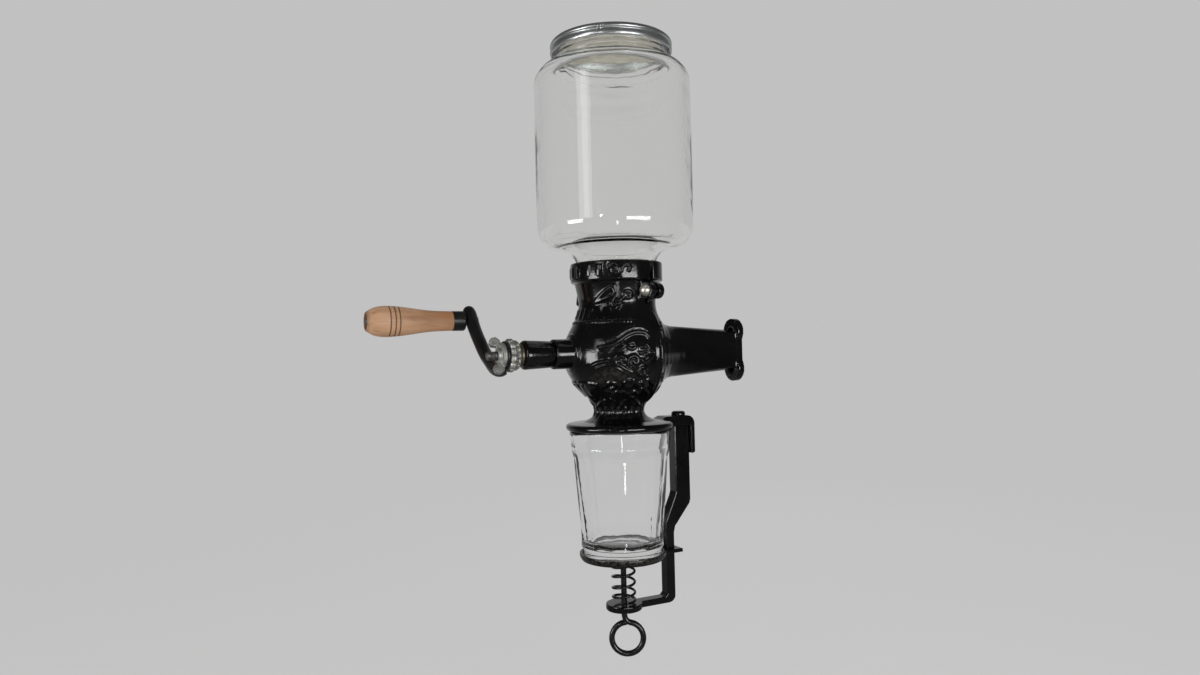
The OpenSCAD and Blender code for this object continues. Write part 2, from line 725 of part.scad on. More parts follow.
module feed_worm() color(iron) mill() {
    root_r = shaft_d / 2 + 2;
    worm_front = chamber_front + 9;
    worm_l = turning_y - burr_nose_l - worm_front - slack;
    difference() {
        along_y(worm_front) {
            cylinder(r = root_r, h = worm_l);
            linear_extrude(worm_l, twist = -300, slices = 20)
                translate([0, -1.6]) square([worm_r, 3.2]);
        }
        y_bore(shaft_d / 2, worm_front - 1, worm_front + worm_l + 1);
    }
}

module thrust_spring() color(steel) mill()
    along_y(chamber_front + slack) coil(2 * shaft_d - 3, 8.4, 3, 1.4);

module thrust_washer() color([0.55, 0.42, 0.22]) mill() difference() {
    y_bore(washer_d / 2, -washer_y, -sleeve_y - eps * 2);
    y_bore(stud_d / 2 + run_fit, -washer_y - 1, -sleeve_y + 1);
}

// One row of rounded lobes on the adjusting nut
module nut_row(d) difference() {
    circle(d = d);
    for (k = [0:adjust_scallops - 1])
        rotate(360 * k / adjust_scallops)
            translate([d / 2 + 0.5, 0]) circle(r = PI * d / adjust_scallops / 4.4);
}
module adjusting_nut() color(zinc) mill() difference() {
    front_l = 0.6 * adjust_t;
    union() {
        along_y(-adjust_y + eps * 2) linear_extrude(front_l) nut_row(adjust_d);
        along_y(-adjust_y + front_l)
            linear_extrude(adjust_t - front_l - eps * 2)
                rotate(180 / adjust_scallops) nut_row(adjust_d - 2.4);
    }
    y_bore(stud_d / 2 + run_fit, -adjust_y - 1, -washer_y + 1);
}

module crank_arm() color([0.09, 0.09, 0.09]) mill() difference() {
    union() {
        y_bore(eye_d / 2, -eye_y, -adjust_y);
        tube(smooth(crank_path, 4), rod_d / 2, 12, 0.6);
    }
    y_bore(stud_d / 2, -eye_y - rod_d, -adjust_y + 3);
    y_bore(adjust_d, -adjust_y, -adjust_y + rod_d);
    y_bore(wing_hub_r + 0.6, -eye_y - rod_d, -eye_y);
    at_grip() translate([0, 0, -2 * rod_d]) cylinder(d = spindle_d, h = 3 * rod_d);
}

module wing_nut() color(zinc) mill() difference() {
    base = -eye_y;
    union() {
        along_y(base - wing_t) cylinder(r1 = wing_hub_r - 0.8, r2 = wing_hub_r, h = wing_t);
        along_y(base - 4.4) cylinder(r1 = 4.6, r2 = 5.6, h = 4.4);
        for (s = [-1, 1])
            rotate([0, -wing_turn, 0]) mirror([0, 0, s < 0 ? 1 : 0]) rotate([90, 0, 90])
                translate([0, 0, -wing_w / 2]) linear_extrude(wing_w) polygon([
                    [base - 0.4, 3.6], [base - 3.4, 3.6], [base - 4, 6.2], [base - 7.2, 6.8],
                    [base - 8.2, 9], [base - 7, 12], [base - 3.6, 12.8], [base - 1.4, 11], [base - 0.4, 7.6]
                ]);
    }
    y_bore(stud_d / 2, base - 12, base + 1);
}

module grip_spindle() color(steel) mill() at_grip() {
    head_t = 1.6;
    head_low = grip_end - 1.8;
    tail = rod_d + 0.4;
    translate([0, 0, -tail]) cylinder(d = spindle_d, h = tail + head_low + head_t / 2);
    translate([0, 0, head_low]) cylinder(d1 = spindle_d + 2.4, d2 = spindle_d - 1, h = head_t);
}

module grip_end_washer() color(steel) mill() at_grip()
    translate([0, 0, grip_end - 3]) difference() {
        cylinder(d = spindle_d + 4, h = 1.2);
        translate([0, 0, -1]) cylinder(d = spindle_d, h = 4);
    }

module grip_outline() {
    tenon_r = ferrule_d / 2 - ferrule_wall;
    polygon(concat(
        [[0, tenon_end], [tenon_r, tenon_end], [tenon_r, ferrule_l]],
        smooth([
            [ferrule_d / 2 - 0.2, ferrule_l],
            [ferrule_d / 2 + 0.6, ferrule_l + grip_l * 0.2],
            [grip_d / 2 - 1.4, ferrule_l + grip_l * 0.5],
            [grip_d / 2, ferrule_l + grip_l * 0.76],
            [grip_d / 2 - 1.2, ferrule_l + grip_l * 0.93],
            [grip_d / 2 - 4.4, grip_end]
        ], 4),
        [[0, grip_end]]
    ));
}
module wooden_grip() color([0.76, 0.52, 0.32]) mill() at_grip() difference() {
    rotate_extrude() grip_outline();
    cylinder(r = spindle_d / 2 + run_fit, h = grip_end + 1);
    translate([0, 0, grip_end - 3.1]) cylinder(d = spindle_d + 4.8, h = 4);
    for (g = groove_places)
        translate([0, 0, ferrule_l + g * grip_l])
            rotate_extrude() translate([grip_d / 2 - 0.4, 0]) circle(d = 1.4, $fn = 16);
}

module grip_ferrule() color([0.1, 0.1, 0.1]) mill() at_grip() difference() {
    rotate_extrude() polygon([
        [0, ferrule_gap], [ferrule_d / 2 - 1, ferrule_gap], [ferrule_d / 2 - 0.2, ferrule_gap + 0.8],
        [ferrule_d / 2, ferrule_l], [0, ferrule_l]
    ]);
    translate([0, 0, ferrule_gap + ferrule_wall]) cylinder(r = ferrule_d / 2 - ferrule_wall, h = ferrule_l);
    cylinder(r = spindle_d / 2 + run_fit, h = ferrule_l);
}

// Tumbler with a round band at the rim, flat panels pressed in below it and a round foot
module cup_panel_cuts(low_z, low_r, high_r, h) {
    tilt = atan((high_r - low_r) / h);
    side = 2 * high_r * tan(180 / cup_panels) + 2;
    below = 2;
    for (k = [0:cup_panels - 1])
        rotate(360 * k / cup_panels)
            translate([low_r, 0, low_z])
                rotate([0, tilt, 0])
                    translate([0, -side / 2, -below]) cube([cup_d, side, h / cos(tilt) + below]);
}
module catch_cup() color(clear_glass) mill() difference() {
    foot_h = 6;
    base_r = cup_base_d / 2;
    rim_r = cup_d / 2;
    panel_h = cup_h - cup_band - foot_h;
    flat = cos(180 / cup_panels);
    union() {
        translate([0, 0, cup_foot + foot_h]) cylinder(r1 = base_r + 1, r2 = rim_r, h = cup_h - foot_h);
        translate([0, 0, cup_foot + 1]) cylinder(r = base_r - 0.8, h = foot_h - 1);
        translate([0, 0, cup_foot]) cylinder(r1 = base_r - 1.8, r2 = base_r - 0.8, h = 1);
    }
    cup_panel_cuts(cup_foot + foot_h, (base_r + 0.6) * flat, (rim_r - 1.4) * flat, panel_h);
    translate([0, 0, cup_foot + cup_base_t])
        cylinder(r1 = base_r - cup_wall - 1.2, r2 = rim_r - cup_wall, h = cup_h - cup_base_t + eps);
}

module tray_fork() {
    inner_w = bar_w / 2 + slack;
    inner_y = bar_low_y - slack;
    outer_y = bar_low_y + bar_low_d + slack;
    translate([0, 0, tray_under]) linear_extrude(fork_t) difference() {
        translate([-inner_w - fork_w, 14]) square([2 * (inner_w + fork_w), outer_y + 4 - 14]);
        translate([-inner_w, inner_y]) square([2 * inner_w, outer_y - inner_y]);
    }
}
module cup_tray() color(enamel) mill() difference() {
    union() {
        translate([0, 0, tray_under]) cylinder(r1 = tray_r - 1.4, r2 = tray_r, h = tray_t);
        translate([0, 0, tray_under + tray_t]) cylinder(r = tray_r, h = tray_lip);
        tray_fork();
    }
    translate([0, 0, cup_foot]) cylinder(r = tray_r - tray_wall, h = tray_lip + 1);
    translate([0, 0, tray_under - 1]) cylinder(d = plunger_d, h = tray_t + 2);
    translate([-bar_w, bar_low_y - slack, tray_under + fork_t]) cube([2 * bar_w, 20, tray_lip + 4]);
    translate([-bar_w / 2 - slack, bar_low_y - slack, tray_under - 1])
        cube([bar_w + 2 * slack, bar_low_d + 2 * slack, 20]);
}

module spring_seat() color(steel) mill() translate([0, 0, tray_under - seat_t]) difference() {
    cylinder(d = spring_d + 1, h = seat_t);
    translate([0, 0, -1]) cylinder(d = plunger_d, h = seat_t + 2);
}

module plunger_rod() color([0.12, 0.12, 0.12]) mill() {
    mean_r = (ring_d - plunger_d) / 2;
    rod_low = ring_z + sqrt(mean_r * mean_r - ring_shift * ring_shift);
    translate([0, 0, rod_low]) cylinder(d = plunger_d, h = cup_foot - eps * 5 - rod_low);
    rotate(-ring_turn)
        translate([0, ring_shift, ring_z])
            rotate([0, 90, 0])
                rotate_extrude() translate([mean_r, 0]) circle(d = plunger_d);
}

module lift_spring() color([0.15, 0.15, 0.15]) mill()
    translate([0, 0, foot_top + slack]) coil(spring_d, spring_l, spring_coils, spring_wire);

body_casting();
wall_bracket();
bracket_screws();
stationary_burr();
burr_screws();
front_sleeve();
glass_jar();
clamp_screw();
cup_bracket();
cup_bracket_screw();
drive_shaft();
rotating_burr();
burr_cross_pin();
feed_worm();
thrust_spring();
thrust_washer();
crank_arm();
wing_nut();
grip_spindle();
grip_end_washer();
adjusting_nut();
wooden_grip();
grip_ferrule();
lid_liner();
jar_lid();
cup_tray();
plunger_rod();
spring_seat();
lift_spring();
catch_cup();
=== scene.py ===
# %% [markdown]
# A wall mounted coffee mill: a glass hopper jar over a black enamelled casting, a side crank with a wooden
# grip, and a glass cup held under the spout by a sprung tray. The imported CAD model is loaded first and
# stays as it is. Every piece made below stands where its CAD node stands, in metres, and rides on the same
# body.

# %% Load the frame
import math

import bpy
import numpy as np
from mathutils import Matrix, Vector
from mathutils.bvhtree import BVHTree


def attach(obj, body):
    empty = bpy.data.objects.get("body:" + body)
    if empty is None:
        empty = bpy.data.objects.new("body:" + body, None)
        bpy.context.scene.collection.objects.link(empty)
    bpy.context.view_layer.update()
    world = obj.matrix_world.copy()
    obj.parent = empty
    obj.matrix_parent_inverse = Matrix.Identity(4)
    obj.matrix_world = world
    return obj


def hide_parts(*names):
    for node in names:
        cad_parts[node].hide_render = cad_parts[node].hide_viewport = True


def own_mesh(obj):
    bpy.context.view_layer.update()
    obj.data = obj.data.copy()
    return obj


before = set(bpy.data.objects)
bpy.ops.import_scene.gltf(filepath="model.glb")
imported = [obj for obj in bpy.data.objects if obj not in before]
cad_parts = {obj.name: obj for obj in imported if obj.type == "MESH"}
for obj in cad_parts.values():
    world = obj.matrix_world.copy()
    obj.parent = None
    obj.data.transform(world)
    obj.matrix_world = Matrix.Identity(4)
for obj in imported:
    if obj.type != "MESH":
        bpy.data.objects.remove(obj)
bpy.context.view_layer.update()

scene = bpy.context.scene
scene.view_settings.view_transform = "Standard"
MM = 0.001
print("CAD nodes:", len(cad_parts))

# %% [markdown]
# The photograph looks at the crank side a little from the front and from just below the middle of the mill.
# A camera can be placed by eye, but a few known sizes in the picture are enough to work out its lens, its
# distance and its small roll, so those numbers are written here and turned into a matrix.

# %% Camera
WALL_OFFSET = 100.0
LENS = 25.245
CAMERA_TURN = math.radians(27.0)
CAMERA_PITCH = math.radians(-0.8)
CAMERA_ROLL = math.radians(-1.37)
CAMERA_DISTANCE = 581.0
CAMERA_SIDE = -12.55
CAMERA_LIFT = 10.5
SENSOR_WIDTH, CLIP_NEAR = 36, 0.01


def mill(x, y, z):
    """A point given in millimetres from the crossing of shaft and jar axis, in metres in the frame."""
    return Vector((x, y - WALL_OFFSET, z)) * MM


right = Vector((math.sin(CAMERA_TURN), math.cos(CAMERA_TURN), 0))
back = Vector((math.cos(CAMERA_TURN) * math.cos(CAMERA_PITCH),
               -math.sin(CAMERA_TURN) * math.cos(CAMERA_PITCH), math.sin(CAMERA_PITCH)))
up = back.cross(right)
right, up = (math.cos(CAMERA_ROLL) * right + math.sin(CAMERA_ROLL) * up,
             math.cos(CAMERA_ROLL) * up - math.sin(CAMERA_ROLL) * right)
eye = CAMERA_DISTANCE * back + CAMERA_SIDE * right + CAMERA_LIFT * up
bpy.ops.object.camera_add(location=mill(*eye))
camera = bpy.context.object
camera.data.lens = LENS
camera.data.sensor_width = SENSOR_WIDTH
camera.data.clip_start = CLIP_NEAR
camera.matrix_world = Matrix((right, up, back)).transposed().to_4x4()
camera.matrix_world.translation = mill(*eye)
scene.camera = camera
print("camera at", [round(v, 3) for v in camera.matrix_world.translation])

# %% [markdown]
# The backdrop is plain pale grey. The world and the floor show the same grey to the camera, to reflections
# and through glass, so that one runs into the other. Opaque pieces mirror it only from straight behind the
# mill. The rest of what they mirror is dimmer, as rooms are beside a bright wall, and that keeps the enamel
# deep black.

# %% Backdrop
BACKDROP = (0.54, 0.535, 0.535, 1)
DIM_SIDE = (0.045, 0.045, 0.046, 1)
TOWARDS_CAMERA = (math.cos(CAMERA_TURN), -math.sin(CAMERA_TURN), 0)
WORLD_DIM, FLOOR_DIM = (-0.98, -0.5), (-0.7, -0.1)
ROOM_LIGHT = 0.42


def add_node(tree, kind, inputs=None, **settings):
    """A node with its settings, whose inputs are fed by other nodes' outputs or by plain values."""
    node = tree.nodes.new("ShaderNode" + kind)
    for name, value in settings.items():
        setattr(node, name, value)
    for key, value in (inputs or {}).items():
        if isinstance(value, bpy.types.NodeSocket):
            tree.links.new(value, node.inputs[key])
        else:
            node.inputs[key].default_value = value
    return node


def add_math(tree, operation, first, second):
    return add_node(tree, "Math", {0: first, 1: second}, operation=operation).outputs[0]


def spread(tree, value, low, high, to_low=0.0, to_high=1.0):
    """A value stretched from one range to another."""
    ranges = {"From Min": low, "From Max": high, "To Min": to_low, "To Max": to_high}
    return add_node(tree, "MapRange", {"Value": value, **ranges}).outputs[0]


def sees_backdrop(tree):
    """A value of 1 for camera, glossy and transmission rays."""
    rays = add_node(tree, "LightPath").outputs
    shown = add_math(tree, "MAXIMUM", rays["Is Camera Ray"], rays["Is Glossy Ray"])
    return add_math(tree, "MAXIMUM", shown, rays["Is Transmission Ray"])


def room_colour(tree, place, low, high):
    """Backdrop colour, dimmed where opaque pieces mirror it between two marks on the way to the camera."""
    looking = add_node(tree, "VectorMath", {0: place, 1: TOWARDS_CAMERA}, operation="DOT_PRODUCT")
    dimness = spread(tree, looking.outputs["Value"], low, high)
    rays = add_node(tree, "LightPath").outputs
    outside_glass = add_math(tree, "LESS_THAN", rays["Transmission Depth"], 0.5)
    mirrored = add_math(tree, "MULTIPLY", rays["Is Glossy Ray"], outside_glass)
    share = add_math(tree, "MULTIPLY", dimness, mirrored)
    return add_node(tree, "Mix", {0: share, 6: BACKDROP, 7: DIM_SIDE}, data_type="RGBA").outputs[2]


world = bpy.data.worlds.new("pale_room")
scene.world = world
world.use_nodes = True
tree = world.node_tree
tree.nodes.clear()
direction = add_node(tree, "TexCoord").outputs["Generated"]
seen = add_node(tree, "Background", {"Color": room_colour(tree, direction, *WORLD_DIM)})
lighting = add_node(tree, "Background", {"Color": (1, 1, 1, 1), "Strength": ROOM_LIGHT})
pick_ray = add_node(tree, "MixShader", {0: sees_backdrop(tree), 1: lighting.outputs[0], 2: seen.outputs[0]})
add_node(tree, "OutputWorld", {0: pick_ray.outputs[0]})
print("world made:", world.name)

# %% [markdown]
# The floor is a wide disc of pale paper. Near the mill it is mixed with an ordinary matt surface, so it
# still catches a shadow, and further out it fades into the backdrop.

# %% Floor
FLOOR_R, FLOOR_Z, PAPER = 6, -0.262, (0.8, 0.795, 0.795, 1)
FADE_START, FADE_END, LEAST_GLOW = 0.15, 1.1, 0.8
bpy.ops.mesh.primitive_circle_add(vertices=96, radius=FLOOR_R, fill_type="NGON", location=(0, 0, FLOOR_Z))
floor = bpy.context.object
floor.name = "floor"
paper = bpy.data.materials.new("pale_paper")
paper.use_nodes = True
tree = paper.node_tree
tree.nodes.clear()
place = add_node(tree, "TexCoord").outputs["Object"]
matt = add_node(tree, "BsdfDiffuse", {"Color": PAPER})
glow = add_node(tree, "Emission", {"Color": room_colour(tree, place, *FLOOR_DIM)})
away = add_node(tree, "VectorMath", {0: place}, operation="LENGTH")
fade = spread(tree, away.outputs["Value"], FADE_START, FADE_END, LEAST_GLOW, 1.0)
share = add_math(tree, "MULTIPLY", sees_backdrop(tree), fade)
blend = add_node(tree, "MixShader", {0: share, 1: matt.outputs[0], 2: glow.outputs[0]})
add_node(tree, "OutputMaterial", {0: blend.outputs[0]})
floor.data.materials.append(paper)
print("floor made:", floor.name)

# %% [markdown]
# The lamps stand round the camera, where a photographer's would. Two soft boxes at the height of the mill
# draw the bright bands on the enamel, a tall faint pair on the left draws the sheen down the jar, a small
# strip below the camera draws the one down the cup, and a very small lamp above puts sparks on the
# ornament. Two large ones that reflections don't show lift the shadows and the far edges.

# %% Lamps
LAMP_AIM = mill(0, 0, 20)


def softbox(name, turn, distance, height, wide, tall, power, mirrored=True):
    """A lamp aimed at the mill, turned from the camera's direction in degrees, in metres and watts."""
    angle = math.radians(turn) - CAMERA_TURN
    place = LAMP_AIM + Vector((distance * math.cos(angle), distance * math.sin(angle), height))
    bpy.ops.object.light_add(type="AREA", location=place)
    lamp = bpy.context.object
    lamp.name = name
    lamp.data.shape = "RECTANGLE"
    lamp.data.size = wide
    lamp.data.size_y = tall
    lamp.data.energy = power
    lamp.rotation_euler = (LAMP_AIM - place).to_track_quat("-Z", "Y").to_euler()
    lamp.visible_glossy = mirrored
    lamp.visible_transmission = False
    lamp.visible_camera = False


softbox("left_lamp", -58, 1.2, -0.06, 0.50, 0.34, 6.2)
softbox("right_lamp", 32, 1.2, -0.05, 0.75, 0.34, 10.0)
softbox("window", -42, 1.2, 0.34, 0.40, 0.46, 1.3)
softbox("window_core", -41, 1.19, 0.33, 0.18, 0.40, 0.4)
softbox("top_lamp", -20, 1.0, 0.17, 0.05, 0.05, 0.6)
softbox("low_strip", 2, 0.5, -0.19, 0.02, 0.16, 0.12)
softbox("fill_lamp", 35, 1.3, 0.7, 0.9, 0.9, 3, mirrored=False)
softbox("rear_lamp", 160, 1.2, 0.9, 0.9, 0.9, 7, mirrored=False)
print("lamps made")

# %% [markdown]
# A finish is a Principled shader with its colour, roughness and bump fed by noise at the scale of the real
# surface. The helpers below add one node each and return its output, so that every finish reads as a short
# recipe.

# %% Helpers for finishes


class Finish:
    """A material under construction."""

    def __init__(self, name, **values):
        self.material = bpy.data.materials.new(name)
        self.material.use_nodes = True
        self.tree = self.material.node_tree
        self.shader = self.tree.nodes["Principled BSDF"]
        for socket, value in values.items():
            self.shader.inputs[socket.replace("_", " ").replace("Ior", "IOR")].default_value = value
        self.place = add_node(self.tree, "TexCoord").outputs["Object"]

    def feed(self, output, socket):
        self.tree.links.new(output, self.shader.inputs[socket])

    def stretched(self, scale):
        return add_node(self.tree, "Mapping", {"Scale": scale, "Vector": self.place}).outputs[0]

    def noise(self, scale, detail=3.0, roughness=0.55, vector=None):
        values = {"Scale": scale, "Detail": detail, "Roughness": roughness, "Vector": vector or self.place}
        return add_node(self.tree, "TexNoise", values).outputs["Fac"]

    def level(self, value, low, high, to_low=0.0, to_high=1.0):
        return spread(self.tree, value, low, high, to_low, to_high)

    def math(self, a, b, operation="ADD"):
        return add_math(self.tree, operation, a, b)

    def ramp(self, value, *stops):
        node = add_node(self.tree, "ValToRGB", {0: value})
        steps = node.color_ramp.elements
        while len(steps) < len(stops):
            steps.new(0.5)
        for step, (where, colour) in zip(steps, stops):
            step.position = where
            step.color = (*colour, 1)
        return node.outputs["Color"]

    def mix(self, share, base, other):
        if isinstance(other, tuple):
            other = (*other, 1)
        return add_node(self.tree, "Mix", {0: share, 6: base, 7: other}, data_type="RGBA").outputs[2]

    def painted(self, name):
        return add_node(self.tree, "Attribute", attribute_name=name).outputs["Fac"]

    def bump(self, height, strength, depth):
        node = add_node(self.tree, "Bump", {"Strength": strength, "Distance": depth, "Height": height})
        self.feed(node.outputs[0], "Normal")


print("finish helpers ready")

# %% [markdown]
# The casting is dipped in thick black enamel. It flows a little, so the gloss is slightly uneven, and in
# the lows of the ornament it is rubbed thin and shows brown. The rubbed places are painted on the mesh
# later as an attribute called worn, so that they follow the carving and not a pattern in space.

# %% Black finishes
coat = Finish("black_enamel", Specular_IOR_Level=0.4)
worn = coat.painted("worn")
patches = coat.level(coat.noise(320, 4), 0.38, 0.66)
rubbed = coat.math(worn, patches, "MULTIPLY")
black = coat.ramp(coat.noise(55, 5), (0.3, (0.0012, 0.0012, 0.0014)), (0.75, (0.0032, 0.003, 0.0029)))
coat.feed(coat.mix(rubbed, black, (0.026, 0.0225, 0.018)), "Base Color")
gloss = coat.level(coat.noise(130, 4), 0.3, 0.7, 0.09, 0.16)
coat.feed(coat.math(gloss, coat.level(rubbed, 0, 1, 0, 0.35)), "Roughness")
coat.bump(coat.math(coat.noise(650, 2), coat.noise(190, 2)), 0.12, 0.0004)
black_enamel = coat.material

dark = Finish("blackened_iron", Specular_IOR_Level=0.3)
rub = dark.level(dark.noise(160, 6, 0.7), 0.6, 0.78)
scale_black = dark.ramp(dark.noise(60, 4), (0.3, (0.003, 0.003, 0.0032)), (0.8, (0.0075, 0.0072, 0.007)))
dark.feed(dark.mix(rub, scale_black, (0.022, 0.0205, 0.019)), "Base Color")
dark.feed(dark.level(dark.noise(240, 5), 0.3, 0.75, 0.28, 0.44), "Roughness")
dark.bump(dark.noise(900, 3), 0.14, 0.0003)
blackened_iron = dark.material

wire = Finish("spring_black", Specular_IOR_Level=0.4)
wire_black = wire.ramp(wire.noise(300, 4), (0.35, (0.002, 0.002, 0.0022)), (0.8, (0.008, 0.0075, 0.007)))
wire.feed(wire_black, "Base Color")
wire.feed(wire.level(wire.noise(400, 4), 0.3, 0.7, 0.16, 0.32), "Roughness")
wire.bump(wire.noise(1200, 3), 0.12, 0.0002)
spring_steel = wire.material
print("black finishes:", black_enamel.name, blackened_iron.name, spring_steel.name)

# %% [markdown]
# The bare metals are old and dull. Each has a cloudy tarnish, a fine pitting in its bump, and a roughness
# that follows the tarnish, because the cleaner spots are also the shinier ones.

# %% Bare metals


def old_metal(name, clean, dull, rough, scale, pitting=0.2, metallic=0.9):
    """A tarnished metal: two colours in clouds of the given scale, and pitting."""
    metal = Finish(name, Metallic=metallic)
    cloud = metal.noise(scale, 6, 0.65)
    metal.feed(metal.ramp(cloud, (0.32, dull), (0.68, clean)), "Base Color")
    metal.feed(metal.level(cloud, 0.3, 0.7, rough[1], rough[0]), "Roughness")
    metal.bump(metal.math(metal.noise(scale * 7, 3), metal.noise(scale * 2.5, 2)), pitting, 0.0003)
    return metal.material


lid_zinc = old_metal("lid_zinc", (0.50, 0.52, 0.52), (0.26, 0.27, 0.27), (0.22, 0.36), 90, 0.1)
galvanised = old_metal("galvanised_iron", (0.50, 0.50, 0.47), (0.17, 0.17, 0.157), (0.45, 0.66), 260, 0.4)
tarnished_brass = old_metal("tarnished_brass", (0.20, 0.165, 0.11), (0.075, 0.065, 0.05), (0.35, 0.55), 220)
dull_nickel = old_metal("dull_nickel", (0.62, 0.60, 0.53), (0.40, 0.38, 0.33), (0.3, 0.45), 350)
stud_steel = old_metal("stud_steel", (0.20, 0.20, 0.195), (0.07, 0.068, 0.064), (0.36, 0.55), 400)
bright_steel = old_metal("bright_steel", (0.50, 0.50, 0.49), (0.30, 0.29, 0.28), (0.26, 0.42), 200)
burr_iron = old_metal("burr_iron", (0.14, 0.135, 0.13), (0.05, 0.045, 0.04), (0.45, 0.65), 300, 0.4)
print("bare metals made")

# %% [markdown]
# The grip is turned from a pale close-grained wood, oiled by hands near the ferrule. Grain and pores are
# noise stretched along the grip, and the burnt lines are painted on the mesh later.

# %% Wood, glass and the lid's inner disc
wood = Finish("oiled_wood", Specular_IOR_Level=0.35)
grain = wood.noise(70, 5, 0.6, wood.stretched((1, 0.14, 1)))
pores = wood.noise(420, 3, 0.6, wood.stretched((1, 0.05, 1)))
flame = wood.noise(28, 3, 0.5, wood.stretched((1, 0.35, 1)))
pale = wood.ramp(grain, (0.3, (0.19, 0.095, 0.046)), (0.5, (0.31, 0.175, 0.098)), (0.7, (0.40, 0.255, 0.16)))
ginger = wood.ramp(grain, (0.28, (0.185, 0.078, 0.029)), (0.7, (0.29, 0.142, 0.065)))
handled = wood.painted("handled")
colour = wood.mix(wood.math(handled, wood.level(flame, 0.44, 0.58), "MULTIPLY"), pale, ginger)
colour = wood.mix(wood.level(pores, 0.56, 0.74, 0, 0.6), colour, (0.17, 0.085, 0.04))
colour = wood.mix(wood.painted("burnt"), colour, (0.05, 0.026, 0.014))
wood.feed(colour, "Base Color")
wood.feed(wood.level(grain, 0.3, 0.7, 0.56, 0.42), "Roughness")
wood.bump(wood.math(pores, grain), 0.25, 0.0003)
oiled_wood = wood.material


def clear_glass(name, tint, ripple_scale, ripple):
    """Old pressed glass: clear, with a slow ripple in its surface and faint cloudy roughness."""
    glass = Finish(name, Transmission_Weight=1.0, Ior=1.5)
    lighter = tuple(min(1.0, c + 0.012) for c in tint)
    glass.feed(glass.ramp(glass.noise(25, 2), (0.2, tint), (0.8, lighter)), "Base Color")
    glass.feed(glass.level(glass.noise(60, 4), 0.35, 0.75, 0.0, 0.035), "Roughness")
    glass.bump(glass.noise(ripple_scale, 2), ripple, 0.002)
    return glass.material


jar_glass = clear_glass("jar_glass", (0.975, 0.985, 0.976), 38, 0.15)
cup_glass = clear_glass("cup_glass", (0.975, 0.985, 0.98), 80, 0.10)

disc = Finish("milky_disc", Specular_IOR_Level=0.5)
mottle = disc.noise(120, 6, 0.65)
aged = disc.ramp(mottle, (0.3, (0.26, 0.235, 0.185)), (0.5, (0.42, 0.39, 0.32)), (0.72, (0.52, 0.50, 0.44)))
disc.feed(aged, "Base Color")
disc.feed(disc.level(mottle, 0.3, 0.7, 0.5, 0.3), "Roughness")
disc.bump(disc.noise(700, 3), 0.2, 0.0003)
milky_disc = disc.material
print("wood, glass and disc finishes made")

# %% [markdown]
# Turned pieces are drawn as a half outline, one vertex extruded from point to point, and spun about the
# upright axis. Bent rods are curves with a round bevel that become meshes. Cast pieces start from a merged
# copy of their CAD node, and a voxel remesh with a little smoothing gives them the soft edges of iron
# poured in sand.

# %% Modelling helpers
UPRIGHT = Matrix.Translation(mill(0, 0, 0))
ON_SHAFT = UPRIGHT @ Matrix.Rotation(math.pi / 2, 4, "X")
JAR_ROUND, SHAFT_ROUND = (0, 1), (0, 2)
MIDDLE = (0, -WALL_OFFSET * MM, 0)
MEET, ROD_MEET = 2e-6, 1e-6
ROD_STEPS, ROD_SIDES = 10, 5


def clear_selection():
    bpy.ops.object.select_all(action="DESELECT")


def pick(piece):
    clear_selection()
    piece.select_set(True)
    bpy.context.view_layer.objects.active = piece


def settle(piece, place):
    """Put a piece in its place and move that place into its mesh."""
    pick(piece)
    piece.matrix_world = place
    bpy.ops.object.transform_apply(location=True, rotation=True, scale=True)
    return piece


def clean_mesh(gap, turn_out=True):
    """Merge points of the picked piece that meet within a gap, and turn its faces outwards."""
    bpy.ops.object.mode_set(mode="EDIT")
    bpy.ops.mesh.select_all(action="SELECT")
    bpy.ops.mesh.remove_doubles(threshold=gap)
    if turn_out:
        bpy.ops.mesh.normals_make_consistent(inside=False)
    bpy.ops.object.mode_set(mode="OBJECT")


def lathe(name, outline, place, steps=96):
    """Spin a half outline of (radius, height) points in millimetres about its axis."""
    clear_selection()
    bpy.ops.mesh.primitive_plane_add(size=MM)
    piece = bpy.context.object
    piece.name = name
    bpy.ops.object.mode_set(mode="EDIT")
    bpy.ops.mesh.select_all(action="SELECT")
    bpy.ops.mesh.merge(type="CENTER")
    bpy.ops.transform.translate(value=(outline[0][0] * MM, 0, outline[0][1] * MM))
    for (r0, h0), (r1, h1) in zip(outline, outline[1:]):
        step = ((r1 - r0) * MM, 0, (h1 - h0) * MM)
        bpy.ops.mesh.extrude_region_move(TRANSFORM_OT_translate={"value": step})
    bpy.ops.mesh.select_all(action="SELECT")
    bpy.ops.mesh.spin(steps=steps, angle=2 * math.pi, center=(0, 0, 0), axis=(0, 0, 1))
    clean_mesh(MEET)
    return settle(piece, place)


def arc(r, h, radius, start, end, count):
    """Outline points on an arc, angles in degrees."""
    turns = np.radians(np.linspace(start, end, count))
    return [(r + radius * math.cos(a), h + radius * math.sin(a)) for a in turns]


def lifted(section, base):
    """An outline moved up its axis."""
    return [(r, base + h) for r, h in section]


def points_of(piece):
    flat = np.zeros(len(piece.data.vertices) * 3)
    piece.data.vertices.foreach_get("co", flat)
    return flat.reshape(-1, 3)


def move_points(piece, points):
    piece.data.vertices.foreach_set("co", np.ascontiguousarray(points, dtype=np.float32).ravel())
    piece.data.update()


def in_mill(spots):
    """Points in metres in the frame as x, y, z in millimetres from the crossing of shaft and jar axis."""
    return spots[:, 0] / MM, spots[:, 1] / MM + WALL_OFFSET, spots[:, 2] / MM


def set_radius(piece, radius, wanted, across):
    """Move points from their distance from an axis to a wanted one, in the two directions across it."""
    spots = points_of(piece)
    scale = wanted / np.maximum(radius, 1e-6)
    for axis in across:
        spots[:, axis] = MIDDLE[axis] + (spots[:, axis] - MIDDLE[axis]) * scale
    move_points(piece, spots)


